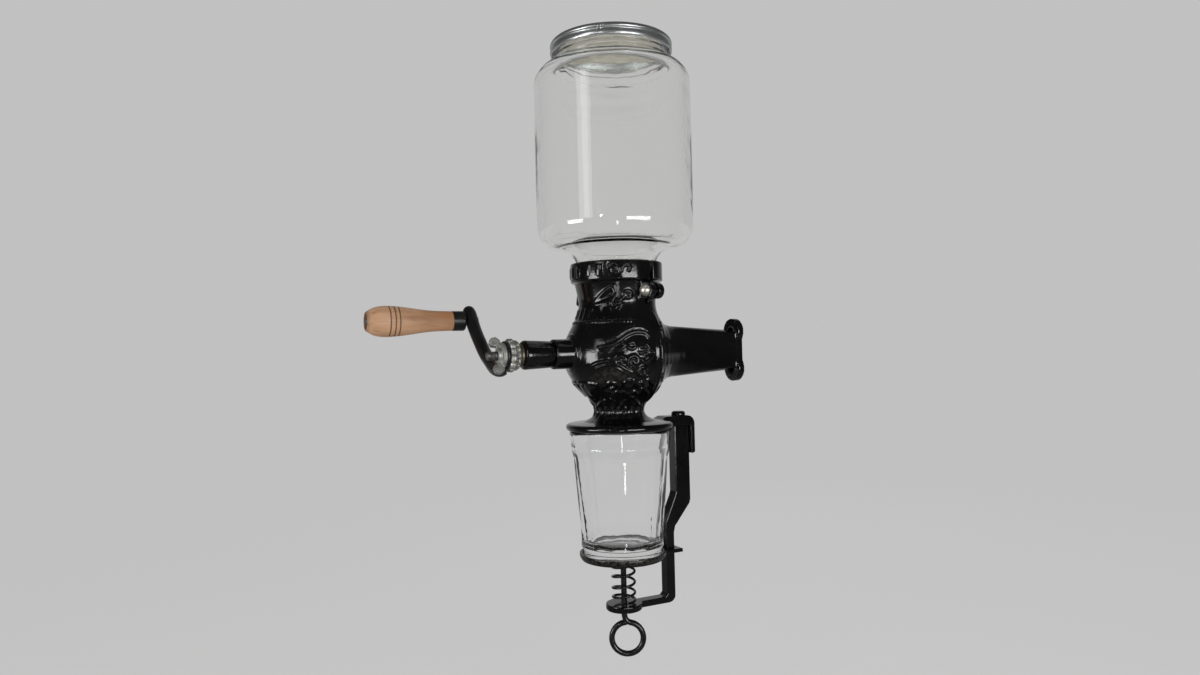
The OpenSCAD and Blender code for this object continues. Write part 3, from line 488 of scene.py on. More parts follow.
def unit(value):
    """A value kept between 0 and 1."""
    return np.clip(value, 0, 1)


def between(value, low, high, soft_low=1, soft_high=1):
    """A share of 1 between two bounds that fades to 0 at them."""
    return unit((value - low) / soft_low) * unit((high - value) / soft_high)


def paint(piece, name, values):
    """Store one number for each vertex under a name that a finish can read."""
    layer = piece.data.attributes.new(name, "FLOAT", "POINT")
    layer.data.foreach_set("value", np.ascontiguousarray(values, dtype=np.float32))


def bent_rod(name, points, thickness, widths=None):
    """A round rod in millimetres along a smooth curve."""
    clear_selection()
    bpy.ops.curve.primitive_bezier_curve_add()
    piece = bpy.context.object
    piece.name = name
    shape = piece.data
    shape.splines.clear()
    spline = shape.splines.new("BEZIER")
    spline.bezier_points.add(len(points) - 1)
    for i, (knot, place) in enumerate(zip(spline.bezier_points, points)):
        knot.co = Vector(place) * MM
        knot.handle_left_type = knot.handle_right_type = "AUTO"
        knot.radius = widths[i] if widths else 1.0
    shape.dimensions = "3D"
    shape.resolution_u = ROD_STEPS
    shape.bevel_depth = thickness / 2 * MM
    shape.bevel_resolution = ROD_SIDES
    shape.use_fill_caps = True
    pick(piece)
    bpy.ops.object.convert(target="MESH")
    piece = bpy.context.object
    clean_mesh(ROD_MEET)
    return settle(piece, UPRIGHT)


def copy_of(node, name):
    """A merged copy of a CAD node's mesh."""
    piece = bpy.data.objects.new(name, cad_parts[node].data.copy())
    scene.collection.objects.link(piece)
    piece.data.materials.clear()
    pick(piece)
    clean_mesh(MEET, turn_out=False)
    return piece


def apply_modifier(piece, kind, **values):
    pick(piece)
    modifier = piece.modifiers.new(kind.lower(), kind)
    for key, value in values.items():
        setattr(modifier, key, value)
    bpy.ops.object.modifier_apply(modifier=modifier.name)


def cast(piece, voxel, rounds=3):
    """Melt a closed shape together and soften its edges, as in a sand casting."""
    apply_modifier(piece, "REMESH", mode="VOXEL", voxel_size=voxel * MM)
    apply_modifier(piece, "SMOOTH", factor=0.5, iterations=rounds)
    return piece


def hand_over(piece, material, body, slot, *replaced, angle=None):
    """Shade a finished piece, give it its finish and let it ride in place of its CAD nodes."""
    pick(piece)
    if angle:
        bpy.ops.object.shade_smooth_by_angle(angle=math.radians(angle))
    else:
        bpy.ops.object.shade_smooth()
    piece.data.materials.clear()
    piece.data.materials.append(material)
    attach(piece, body)
    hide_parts(*replaced)
    print(piece.name, "on", body, len(piece.data.polygons), "faces")


print("modelling helpers ready")

# %% [markdown]
# The hopper is a glass jar that is open at both ends: its lower neck sits in the collar of the mill and its
# wide threaded mouth is at the top. It could be a solid of revolution straight from the CAD, but glass
# shows every facet twice, so the wall is spun again from fine arcs, and the thread on the mouth and the two
# faint mould seams are then pushed out of the spun wall by moving its vertices.

# %% Glass jar
JAR_R, JAR_WALL, NECK_R, MOUTH_R = 54.0, 4.0, 27.4, 39.0
SEAT_Z, LOW_Z, SHOULDER_Z, RIM_Z = 46.7, 86.7, 184.0, 211.0
LOW_R, HIGH_R = 15.0, 14.0
outside = [(NECK_R - 0.8, SEAT_Z), (NECK_R - 0.2, SEAT_Z + 0.2), (NECK_R, SEAT_Z + 0.8)]
outside += [(NECK_R, z) for z in np.linspace(50, 60.4, 6)]
outside += [(27.6, 62), (28.1, 63.6), (28.9, 65.3), (30.1, 67), (31.8, 68.7), (33.8, 70), (36.2, 71.1)]
outside += arc(JAR_R - LOW_R, LOW_Z, LOW_R, -90, 0, 20)
outside += [(JAR_R, z) for z in np.linspace(88, 180, 40)]
outside += arc(JAR_R - HIGH_R, SHOULDER_Z, HIGH_R, 0, 66, 14)
outside += [(44.2, 197.3), (42.6, 197.9), (41.0, 198.2), (39.8, 198.7), (MOUTH_R, 199.8)]
outside += [(MOUTH_R, z) for z in np.linspace(200.1, 209.8, 36)]
outside += arc(MOUTH_R - 1.2, RIM_Z - 1.2, 1.2, 0, 90, 6)
inside = arc(MOUTH_R - JAR_WALL + 1, RIM_Z - 1, 1, 90, 180, 5)
inside += [(MOUTH_R - JAR_WALL, z) for z in (207, 203, 200)]
inside += arc(JAR_R - HIGH_R + 0.2, SHOULDER_Z, HIGH_R - JAR_WALL, 100, 0, 16)
inside += [(JAR_R - JAR_WALL, z) for z in np.linspace(180, 88, 40)]
inside += arc(JAR_R - LOW_R, LOW_Z, LOW_R - JAR_WALL, 0, -88, 18)
inside += [(35.6, 75.2), (33, 74.3), (30.4, 73), (28, 71.2), (26, 69), (24.6, 66.5), (23.8, 64)]
inside += [(NECK_R - JAR_WALL, z) for z in (61.5, 59, 55, 51, SEAT_Z + 0.3)]
jar = lathe("hopper_jar", outside + inside + outside[:1], UPRIGHT, steps=160)

THREAD_PITCH, THREAD_H, THREAD_FADE = 3.6, 0.62, 1.2
THREAD_LOW, THREAD_HIGH = 200.3, 209.6
SEAMS, SEAM_H, SEAM_W = (-63, 117), 0.16, 0.8
JAR_RIPPLE = 0.12
x, y, z = in_mill(points_of(jar))
radius, turn = np.hypot(x, y), np.arctan2(y, x)
wave = np.cos(2 * math.pi * (z / THREAD_PITCH - turn / (2 * math.pi)))
fade = between(z, THREAD_LOW, THREAD_HIGH, THREAD_FADE, THREAD_FADE)
push = THREAD_H * unit(wave) ** 0.8 * fade * (np.abs(radius - MOUTH_R) < 0.2)
wall = (z > 74) & (z < 196) & (radius > JAR_R - 1.5)
for seam in np.radians(SEAMS):
    away = np.angle(np.exp(1j * (turn - seam))) * JAR_R
    push += wall * SEAM_H * np.exp(-(away / SEAM_W) ** 2)
inner = (radius > 45) & (radius < JAR_R - 2.5) & (z > 76) & (z < 194)
push += inner * JAR_RIPPLE * (np.sin(3 * turn + z / 21) + 0.7 * np.sin(5 * turn - z / 13 + 1.3))
set_radius(jar, radius, radius + push, JAR_ROUND)
hand_over(jar, jar_glass, "mill_body", "glass", "glass_jar")
jar.visible_shadow = False

# %% [markdown]
# The lid is one piece of pressed zinc with two rolled beads round its skirt. Its section is drawn like the
# sheet itself, outside down to the rolled edge and back up the inside, so that the metal has a real
# thickness where it is seen from below.

# %% Zinc lid and its inner disc
LID_TOP = 214.8
lid_section = [(0, -0.9), (28, -0.9), (30.5, -0.7), (32, -0.1), (33, 0), (37.5, 0), (39.4, -0.2),
               (40.8, -0.75), (41.7, -1.5), (42.15, -2.4), (42.2, -3.1), (42.0, -3.7), (41.5, -4.15),
               (41.25, -4.55), (41.3, -5.0), (41.7, -5.35), (42.05, -5.8), (42.2, -6.4), (42.2, -7.4),
               (42.1, -8.1), (41.95, -8.6), (41.6, -8.95), (41.2, -9.0), (40.85, -8.8), (40.75, -8.4),
               (40.9, -7.6), (40.9, -6.4), (40.5, -5.5), (40.2, -4.7), (40.5, -3.7), (40.8, -3.0),
               (40.5, -2.1), (39.6, -1.4), (38.4, -1.2), (0, -1.2)]
lid = lathe("screw_lid", lifted(lid_section, LID_TOP), UPRIGHT, steps=160)
hand_over(lid, lid_zinc, "lid", "zinc", "jar_lid")

DISC_LOW, DISC_T = 211.1, 2.4
disc_section = [(0, 0.25), (20, 0.25), (21, 0), (24, 0), (25, 0.3), (33, 0.3), (34, 0), (37.6, 0),
                (38.4, 0.4), (38.6, 1.2), (38.4, DISC_T - 0.4), (37.8, DISC_T), (0, DISC_T)]
inner_disc = lathe("lid_inner_disc", lifted(disc_section, DISC_LOW), UPRIGHT, steps=128)
hand_over(inner_disc, milky_disc, "liner", "liner", "lid_liner", angle=50)

# %% [markdown]
# The cup is a pressed tumbler: a plain band at the rim, flat panels below it that run down to a thick round
# base. The round cup is spun first. Then each vertex of the outer wall is pulled in to the flat of its
# panel, with the corners between two flats rounded off and the panels' ends eased into the round.

# %% Glass cup
CUP_RIM, CUP_FOOT, PANELS = -52.8, -138.3, 12
BAND_LOW = CUP_RIM - 12.0
WALL_R, WALL_FLARE, WALL_LOW, WALL_TALL = 28.5, 6.5, CUP_FOOT + 6, 79.5
FLAT_R, FLAT_FLARE, FLAT_TALL = 28.1, 5.3, 67.5
CORNER_CUT, CORNER_SOFT, PANEL_SHARE, LIP_H, CUP_RIPPLE = 0.35, 3, 0.7, 0.16, 0.10
foot_section = [(0, 1.6), (14, 1.5), (20, 0.7), (23, 0), (25.7, 0), (26.4, 0.4), (26.7, 1.2), (26.8, 3.6),
                (27.6, 5.4)]
rim_section = [(34.9, -0.5), (34.3, -0.05), (33.6, 0), (32.7, -0.2), (32.2, -0.8)]
bottom_section = [(22.9, 8.5), (21.4, 7.7), (18, 7.4), (9, 7.6), (0, 7.7)]
cup_section = lifted(foot_section, CUP_FOOT)
cup_section += [(WALL_R + WALL_FLARE * t, WALL_LOW + WALL_TALL * t) for t in np.linspace(0.01, 0.985, 110)]
cup_section += lifted(rim_section, CUP_RIM)
cup_section += [(23.6 + 8.4 * t, CUP_FOOT + 9.4 + 75.5 * t) for t in np.linspace(0.98, 0.03, 60)]
cup_section += lifted(bottom_section, CUP_FOOT)
cup = lathe("tumbler_cup", cup_section, UPRIGHT, steps=192)
x, y, z = in_mill(points_of(cup))
radius, turn = np.hypot(x, y), np.arctan2(y, x)
half = math.pi / PANELS
off = np.abs((turn + half) % (2 * half) - half)
cone = WALL_R + WALL_FLARE * (z - WALL_LOW) / WALL_TALL
flat = (FLAT_R + FLAT_FLARE * (z - WALL_LOW) / FLAT_TALL) * math.cos(half)
corner = flat / math.cos(half) - CORNER_CUT
panel = -np.log(np.exp(-CORNER_SOFT * flat / np.cos(off)) + np.exp(-CORNER_SOFT * corner)) / CORNER_SOFT
share = between(z, CUP_FOOT + 5, BAND_LOW, 9, 7)
share = share * share * (3 - 2 * share)
outer = (np.abs(radius - cone) < 0.6) & (z > CUP_FOOT + 5)
wanted = np.where(outer, radius + PANEL_SHARE * share * (panel - radius), radius)
wanted += outer * LIP_H * unit(1 - np.abs(z - BAND_LOW - 0.4))
inner = (radius < cone - 2) & (z > CUP_FOOT + 12) & (z < CUP_RIM - 4)
wanted += inner * CUP_RIPPLE * (np.sin(4 * turn + z / 17) + 0.8 * np.sin(7 * turn - z / 11))
set_radius(cup, radius, wanted, JAR_ROUND)
hand_over(cup, cup_glass, "tray", "glass", "catch_cup")
cup.visible_shadow = False

# %% [markdown]
# The grinding body is cast iron with scrollwork in low relief: a leaf on the neck, a smooth drop-shaped
# field on the belly bordered by scrolls, a pointed palmette near the seam and rows of leaves down to the
# fluted spout. Relief like this is drawn in the side view, as the pattern maker drew it. Rays find the wall
# for each point of a fine sheet, the sheet is raised by the height of the drawing there, and later it is
# melted into a copy of the CAD solid, so ornament and wall become one casting.

# %% Drawing of the ornament
# Each stroke is a list of points in the drawing, millimetres along and up, with its half width and height.
# The drawing faces the side of the casting, turned a little towards the crank.
DRAWING_TURN = math.radians(14.3)
LINE_WIDTH, LINE_HEIGHT = 1.15, 1.7
STROKES = [
    ([(-20, 3.6), (-14, 4.8), (-8, 7.7), (-2.7, 11.2), (3.3, 13.2), (9.5, 12.6), (12.5, 10.2)], 0.95, 0.9),
    ([(-16, 7.6), (-9.5, 10.2), (-4, 13.8), (2, 16), (8, 16), (12.4, 13.8)], 0.75, 0.6),
    ([(-11, 3.2), (-8, 2.4), (-5.6, 3.6), (-4.4, 5.6), (-5.6, 7)], 0.75, 0.7),
    ([(-3.2, 4.4), (-0.6, 2.4), (1.8, 3), (2.6, 5), (1.2, 6.6), (-0.6, 6)], 0.75, 0.75),
    ([(-24, -7.5), (-19.7, -5.7), (-13.8, -5.3), (-8.6, -7.5), (-4.1, -10.4), (0.3, -12.6)], 0.95, 0.9),
    ([(-22, -9.6), (-18, -8), (-14, -7.8), (-9.6, -9.7), (-5.6, -12.2), (-2, -14)], 0.7, 0.6),
    ([(-10.4, -5.6), (-9.6, -3.4), (-7.2, -2.2), (-4.8, -3), (-4.2, -5), (-6, -5.8)], 0.8, 0.8),
    ([(-2.4, -8), (-2.8, -5), (-1, -2.6), (1.8, -2.2), (3.8, -4), (3.4, -6.4), (1.2, -6.6), (0.8, -5)],
     0.9, 0.95),
    ([(-2.7, -6.8), (0.3, -10.4), (4.6, -13.8), (8.5, -15.2), (12, -14.4)], 0.85, 0.8),
    ([(6.6, 3.4), (8.2, 5.3), (10.4, 4.6), (12.2, 2.5), (15.4, -0.3), (12.9, -3.6), (10.6, -5.8), (8, -6.4),
      (6.4, -4.6)], 0.85, 0.95),
    ([(8.4, 1.8), (10.4, 1.7), (12, -0.3), (10.4, -2.4), (8.2, -2.6)], 0.7, 0.7),
    ([(5.2, -0.4), (8, -0.4), (10, -0.4)], 0.7, 0.65),
    ([(5.4, -11.8), (6.4, -9.8), (8.6, -9.6), (10, -11.4), (9, -13.4), (7.2, -13.2), (7, -11.8)], 0.8, 0.8),
    ([(-19, 34.2), (-17, 37.2), (-14, 40.8), (-10.4, 43.4)], 0.95, 0.95),
    ([(-18.6, 33.8), (-13.8, 36), (-8.6, 38.8), (-9.6, 43)], 0.95, 0.95),
    ([(-16.4, 36), (-13.6, 38.4), (-11.2, 41)], 0.7, 0.6),
    ([(-8.6, 32.6), (-6.4, 34.6), (-3.8, 33.8), (-3.6, 31.2), (-5.6, 30.4)], 0.8, 0.8),
    ([(-2, 39), (0.4, 41), (2.8, 39.6), (2.4, 36.8), (0.2, 36.4)], 0.75, 0.7),
    ([(-12, 56.4), (-9.4, 58), (-7, 56.6), (-7.4, 54), (-9.4, 53.6)], 0.75, 0.7),
    ([(-4, 53.6), (-3.4, 56.2), (-1, 57.6), (1.4, 56.2), (0.8, 53.8)], 0.75, 0.7),
    ([(-30, -19), (-24, -19.6), (-18, -20.8)], 0.8, 0.7),
    ([(-28, -21), (-24, -26.4), (-19, -32)], 0.8, 0.7),
    ([(-16, -21.4), (-13.4, -18.8), (-10.4, -19.4), (-9.8, -22), (-12, -23)], 0.8, 0.8),
    ([(-4, -19), (-1.4, -17.4), (1.2, -18.8), (0.8, -21.6), (-1.6, -22)], 0.8, 0.8),
    ([(5, -21), (7.6, -19.2), (10, -20.8), (9.4, -23.6), (7, -23.8)], 0.8, 0.8),
    ([(-10, -27), (-7.4, -25), (-4.8, -26.4), (-5.2, -29), (-7.4, -29.4)], 0.75, 0.75),
    ([(1, -27), (3.6, -25.2), (6, -26.8), (5.4, -29.4), (3, -29.6)], 0.75, 0.75),
]
# A leaf has its root, its tip, its half width and its height. The worn leaves under the belly stand in rows.
LEAVES = [((-18.6, 34), (-9.8, 43.4), 2.4, 1.5), ((-27, -19), (-19, -29), 2.6, 1.3),
          ((-6, 34), (1, 39), 1.7, 1.1)]
LEAF_ROWS = ((-20.5, -15.5), (-27.5, -12.5), (-33, -14))
LEAF_STEP, LEAF_HALF, LEAF_LEAN = 6.6, 2.6, 2.6
for row, (middle, start) in enumerate(LEAF_ROWS):
    for k in range(6 - row):
        lean = (LEAF_LEAN if (k + row) % 2 else -LEAF_LEAN) + 0.9 * math.sin(4.1 * k + row)
        across = start + LEAF_STEP * k + 1.2 * math.sin(7.3 * k + 2.1 * row)
        height = middle + 0.9 * math.sin(5.1 * k + 1.7 * row)
        LEAVES.append(((across - lean, height + LEAF_HALF), (across + lean, height - LEAF_HALF), 1.7, 0.95))


def smooth_line(points, steps=8):
    """Points on a rounded curve through the given ones."""
    p = np.array([points[0], *points, points[-1]], float)
    line = []
    for a, b, c, d in zip(p, p[1:], p[2:], p[3:]):
        powers = (2 * b, c - a, 2 * a - 5 * b + 4 * c - d, 3 * b - a - 3 * c + d)
        for t in np.linspace(0, 1, steps, endpoint=False):
            line.append(0.5 * sum(part * t**k for k, part in enumerate(powers)))
    return np.array(line + [p[-1]])


def stroke_height(y, z, points, half_width, height):
    """Round ridge along a stroke."""
    line = smooth_line(points)
    nearest = np.full(y.shape, 1e9)
    for (ay, az), (by, bz) in zip(line, line[1:]):
        dy, dz = by - ay, bz - az
        t = unit(((y - ay) * dy + (z - az) * dz) / max(dy * dy + dz * dz, 1e-9))
        nearest = np.minimum(nearest, np.hypot(y - ay - t * dy, z - az - t * dz))
    return height * np.sqrt(unit(1 - (nearest / half_width) ** 2))


def leaf_height(y, z, root, tip, half_width, height):
    """Rounded blade of a leaf from its root to its tip."""
    dy, dz = tip[0] - root[0], tip[1] - root[1]
    length = math.hypot(dy, dz)
    along = ((y - root[0]) * dy + (z - root[1]) * dz) / length**2
    across = ((y - root[0]) * dz - (z - root[1]) * dy) / length
    wide = half_width * np.sin(math.pi * np.clip(along, 1e-4, 1 - 1e-4)) ** 0.8
    blade = np.sqrt(unit(1 - (across / wide) ** 2))
    return height * blade * ((along > 0) & (along < 1))


def leaf_bed(y, z):
    """Share of the worn leaf field under the drop-shaped panel."""
    return np.clip(1.25 - np.hypot((y + 10.5) / 12.5, (z + 13.2 - 0.1 * y) / 4.6), 0, 0.4) / 0.4


def drawn(x, y):
    """How far along in the drawing a point of the casting is."""
    return y * math.cos(DRAWING_TURN) + np.abs(x) * math.sin(DRAWING_TURN)


NECK_FLUTES, SPOUT_FLUTES, COLLAR_ARCHES = (22.5, 30.6), (-44, -35.5), (50.5, 59)
BEAD_Z, BEAD_R, BEAD_STEP = 20.8, 1.0, 4.5


def relief(x, y, z):
    """Height of the ornament in millimetres at points of the casting."""
    turn = np.arctan2(y, np.abs(x))
    y = drawn(x, y)

    def ribs(count, sharpness):
        return unit(np.cos(turn * count)) ** sharpness

    layers = [stroke_height(y, z, points, half_width * LINE_WIDTH, tall * LINE_HEIGHT)
              for points, half_width, tall in STROKES]
    layers += [leaf_height(y, z, *leaf) for leaf in LEAVES]
    veins = 0.5 * unit(np.cos((y * 0.8 + z * 1.5) * 2.1))
    veins *= unit(np.cos((y * 1.6 - z * 0.7) * 0.9) + 0.5)
    layers.append(leaf_bed(y, z) * (0.15 + veins))
    neck = between(z, *NECK_FLUTES, 1.5, 1.2) * unit((4 - y) / 6)
    layers.append(neck * 0.6 * ribs(32, 0.7))
    beads = (np.degrees(turn) % BEAD_STEP - BEAD_STEP / 2) / (BEAD_STEP / 2)
    beads = unit(1 - np.hypot(beads, (z - BEAD_Z) / BEAD_R) ** 2) ** 0.5
    layers.append(unit((6 - y) / 4) * 0.7 * beads)
    spout = between(z, *SPOUT_FLUTES, 2, 1.5)
    layers.append(spout * 0.7 * ribs(24, 0.6))
    collar = between(z, *COLLAR_ARCHES) * unit((-14 - y) / 3)
    layers.append(collar * 0.55 * ribs(22, 0.5))
    return np.maximum.reduce(layers)


print("strokes drawn:", len(STROKES), "and leaves:", len(LEAVES))

# %% Sheet of relief on the casting
COLUMNS, ROWS = 420, 205
SHEET_LOW, SHEET_HIGH, SHEET_GAP = -46.0, 60.0, 0.05
SHEET_START, SHEET_SWEEP = math.radians(-270), math.radians(300)
RAY_START = 60
EAR_TURN, EAR_HALF, EAR_LOW = math.radians(20), math.radians(15), 31
BOSS_R, BOSS_Y, SEAM_Y, PLAIN_R = 12.5, -22, 12.5, 40
body = copy_of("body_casting", "grinder_casting")
tree = BVHTree.FromPolygons([v.co for v in body.data.vertices], [p.vertices for p in body.data.polygons])
clear_selection()
bpy.ops.mesh.primitive_grid_add(x_subdivisions=COLUMNS, y_subdivisions=ROWS, size=1)
sheet = bpy.context.object
spots = points_of(sheet)
turns = SHEET_START + (spots[:, 0] + 0.5) * SHEET_SWEEP
heights = SHEET_LOW + (spots[:, 1] + 0.5) * (SHEET_HIGH - SHEET_LOW)
hits, facing, found = np.zeros_like(spots), np.zeros_like(spots), np.zeros(len(spots), bool)
for i, (turn, h) in enumerate(zip(turns, heights)):
    inward = Vector((-math.cos(turn), -math.sin(turn), 0))
    place, normal, _, _ = tree.ray_cast(mill(-RAY_START * inward.x, -RAY_START * inward.y, h), inward)
    if place is not None:
        hits[i], facing[i], found[i] = place, normal, True
x, y, z = in_mill(hits)
ears = (np.abs(np.arctan2(y, x) - EAR_TURN) < EAR_HALF) & (z > EAR_LOW) & (x > 0)
boss = (np.hypot(x, z) < BOSS_R) & (y < BOSS_Y)
found &= ~ears & ~boss & (y < SEAM_Y - 1.2) & (np.hypot(x, y) < PLAIN_R)
raised = relief(x, y, z)
lift = facing * (raised[:, None] + SHEET_GAP) * MM
move_points(sheet, np.where(found[:, None], hits + lift, spots))
pick(sheet)
bpy.ops.object.mode_set(mode="EDIT")
bpy.ops.mesh.select_all(action="DESELECT")
bpy.ops.object.mode_set(mode="OBJECT")
for vertex, kept in zip(sheet.data.vertices, found):
    vertex.select = not kept
bpy.ops.object.mode_set(mode="EDIT")
bpy.ops.mesh.delete(type="VERT")
bpy.ops.mesh.select_all(action="SELECT")
bpy.ops.mesh.normals_make_consistent(inside=False)
bpy.ops.object.mode_set(mode="OBJECT")
print("relief sheet:", len(sheet.data.vertices), "points, highest", round(float(raised.max()), 2), "mm")

# %% [markdown]
# The sheet is thickened inwards and joined to the copy. Voxel remeshing melts the two into one skin, a
# round of smoothing gives the enamel its soft edges, and thinning takes away faces where the wall is plain.
# The bore round the feed worm is opened again to its full width, and the leaf field is painted as worn.

# %% Melt the relief into the casting
SHEET_T, MOST_TRIANGLES = 1.4, 190000
WORM_ROOM, WORM_LEAST, WORM_START, WORM_END = 12.7, 9, -15, -2
apply_modifier(sheet, "SOLIDIFY", thickness=SHEET_T * MM, offset=-1)
pick(body)
sheet.select_set(True)
bpy.ops.object.join()
cast(body, 0.45, rounds=1)
triangles = len(body.data.polygons) * 2
if triangles > MOST_TRIANGLES:
    apply_modifier(body, "DECIMATE", ratio=MOST_TRIANGLES / triangles)
x, y, z = in_mill(points_of(body))
radius = np.hypot(x, z)
bore = (y > WORM_START) & (y < WORM_END) & (radius > WORM_LEAST) & (radius < WORM_ROOM)
set_radius(body, radius, np.where(bore, WORM_ROOM, radius), SHAFT_ROUND)
low_spots = np.clip(1 - relief(x, y, z) / 0.45, 0.25, 1)
paint(body, "worn", leaf_bed(drawn(x, y), z) * low_spots * (np.hypot(x, y) > 17))
hand_over(body, black_enamel, "mill_body", "enamel", "body_casting")

# %% [markdown]
# The bracket behind the body, the cup holder, its screw and the tray are plainer castings. A merged copy of
# each CAD node is remeshed a little finer than its thinnest edge and smoothed. Where the round bell of the
# bracket runs out into the flat arm, its sides are drawn to ovals that change slowly from round to flat,
# and its top and foot flare a little towards the belly. The tray's lip is where the cup slides in, so it is
# painted as worn.

# %% Plain castings
BELL_START, BELL_END, ARM_PLAIN, BORE_CLEAR = 18.0, 24.0, 70.0, 8.0
SIDE_Y = [24, 30, 36, 42, 48, 54, 62, 70]
SIDE_SHARE = [1, 0.97, 0.85, 0.72, 0.63, 0.57, 0.535, 0.52]
FLARE_Y, FLARE_H = [18, 24, 28, 32, 36, 40], [0, 8, 4.6, 2.2, 0.8, 0]
wall_arm = cast(copy_of("wall_bracket", "wall_arm"), 0.6)
spots = points_of(wall_arm)
x, y, z = in_mill(spots)
shell = (y > BELL_START) & (y < ARM_PLAIN) & (np.hypot(x, z) > BORE_CLEAR)
levels = np.arange(BELL_END, ARM_PLAIN + 1)
tallest = [np.abs(z[shell & (np.abs(y - level) < 1)]).max() for level in levels]
tall = np.interp(y, levels, tallest)
wide = tall * np.interp(y, SIDE_Y, SIDE_SHARE)
power = np.interp(y, [24, 60], [2, 2.8])
oval = wide * unit(1 - (np.abs(z) / tall) ** power) ** (1 / power)
share = shell * (y > BELL_END) * unit((ARM_PLAIN - y) / 25)
spots[:, 0] = (x + share * (np.sign(x) * oval - x)) * MM
spots[:, 2] = z * (1 + shell * np.interp(y, FLARE_Y, FLARE_H) / tall) * MM
move_points(wall_arm, spots)
blend = wall_arm.vertex_groups.new(name="blend")
for i, weight in enumerate(between(y, 15.5, 76, 5, 10)):
    if weight > 0:
        blend.add([i], float(weight), "REPLACE")
apply_modifier(wall_arm, "SMOOTH", factor=0.5, iterations=40, vertex_group="blend")
hand_over(wall_arm, black_enamel, "mill_body", "enamel", "wall_bracket")

holder = cast(copy_of("cup_bracket", "cup_holder_bar"), 0.45)
hand_over(holder, black_enamel, "mill_body", "enamel", "cup_bracket")

holder_screw = cast(copy_of("cup_bracket_screw", "holder_screw"), 0.3, rounds=2)
hand_over(holder_screw, black_enamel, "mill_body", "enamel", "cup_bracket_screw")

dish = cast(copy_of("cup_tray", "cup_dish"), 0.45)
x, y, z = in_mill(points_of(dish))
paint(dish, "worn", unit((z - CUP_FOOT + 2.2) / 2.4) * unit((30 - y) / 12))
hand_over(dish, black_enamel, "tray", "enamel", "cup_tray")

# %% [markdown]
# On the front of the shaft sit the sleeve, a brass washer, the scalloped adjusting nut, the crank's eye and
# the wing nut. Sleeve and washer are turned pieces. The shaft is turned too, and the thread of its stud is
# pushed out of the spun wall in the same way as the jar's thread.

# %% Turned pieces on the shaft
sleeve_section = [(4.8, 50.05), (7.2, 50.05), (7.9, 50.3), (8.6, 51.1), (8.85, 51.9), (9.0, 54.5), (9.3, 61),
                  (9.55, 67), (9.66, 69.3), (9.6, 70), (9.2, 70.65), (8.6, 71.2), (8.1, 71.45), (4.8, 71.45),
                  (4.8, 50.05)]
sleeve = lathe("shaft_sleeve", sleeve_section, ON_SHAFT)
hand_over(sleeve, black_enamel, "mill_body", "enamel", "front_sleeve", angle=50)

washer_section = [(3.05, 71.55), (6.9, 71.55), (7.3, 71.8), (7.5, 72.3), (7.4, 73), (7.0, 73.7), (6.5, 74.18),
                  (3.05, 74.18), (3.05, 71.55)]
washer = lathe("brass_washer", washer_section, ON_SHAFT, steps=72)
hand_over(washer, tarnished_brass, "crank", "brass", "thrust_washer", angle=50)

STUD_TIP, STUD_R, STUD_PITCH, STUD_CUT = 95.6, 2.98, 1.25, 0.42
shaft_section = [(0, -25.5), (4.2, -25.5), (4.75, -24.9), (4.75, 67.9), (4.2, 68.5), (STUD_R, 68.5)]
shaft_section += [(STUD_R, h) for h in np.arange(69.5, STUD_TIP - 0.8, 0.16)]
shaft_section += [(STUD_R - 0.5, STUD_TIP - 0.35), (STUD_R - 0.9, STUD_TIP), (0, STUD_TIP)]
shaft = lathe("threaded_shaft", shaft_section, ON_SHAFT, steps=48)
x, y, z = in_mill(points_of(shaft))
along, radius, turn = -y, np.hypot(x, z), np.arctan2(z, x)
saw = np.abs(((along / STUD_PITCH + turn / (2 * math.pi)) % 1) - 0.5) * 2
cut = STUD_CUT * saw * ((along > 72) & (along < STUD_TIP - 0.3) & (radius > 2.5))
set_radius(shaft, radius, radius - cut, SHAFT_ROUND)
hand_over(shaft, stud_steel, "crank", "steel", "drive_shaft", angle=40)

# %% [markdown]
# The adjusting nut has two rows of rounded lobes, the front row larger and set half a lobe round. A section
# with two swellings is spun, and each swelling is drawn in between its lobes. The wing nut is a rough
# casting with two ears bent forward, so it is a remeshed copy of its CAD node.

# %% Adjusting nut and wing nut
LOBES, ROWS_MEET, LOBE_DEPTH = 12, 77.4, 1.7
nut_section = [(3.1, 74.3), (7.4, 74.3), (8.6, 74.5), (9.6, 75.1), (10.05, 75.9), (9.8, 76.7), (9.0, 77.3),
               (9.0, 77.5), (10.3, 78), (11.1, 78.9), (11.25, 79.8), (11.1, 80.7), (10.4, 81.5), (9.2, 82),
               (7.8, 82.1), (3.1, 82.1), (3.1, 74.3)]
nut = lathe("scalloped_nut", nut_section, ON_SHAFT, steps=168)
apply_modifier(nut, "SUBSURF", levels=1, render_levels=1)
x, y, z = in_mill(points_of(nut))
radius, turn = np.hypot(x, z), np.arctan2(z, x)
lobe = (turn * LOBES / (2 * math.pi) + np.where(-y > ROWS_MEET, 0, 0.5)) % 1
valley = 1 - np.sqrt(unit(1 - (np.abs(lobe - 0.5) * 1.9) ** 2))
set_radius(nut, radius, radius - LOBE_DEPTH * valley * unit((radius - 7) / 3), SHAFT_ROUND)
hand_over(nut, galvanised, "adjuster", "galvanised", "adjusting_nut", angle=60)

wings = cast(copy_of("wing_nut", "wing_nut_cast"), 0.28)
hand_over(wings, galvanised, "crank", "galvanised", "wing_nut")

# %% [markdown]
# The crank is one bent iron rod with a forged eye. The rod is a curve with a round bevel and a drawn-in
# end, the eye is a turned ring, and three turned cutters clear the stud's hole and the faces where the nuts
# sit. All are joined with Boolean modifiers and melted together, so the rod flows into the eye.

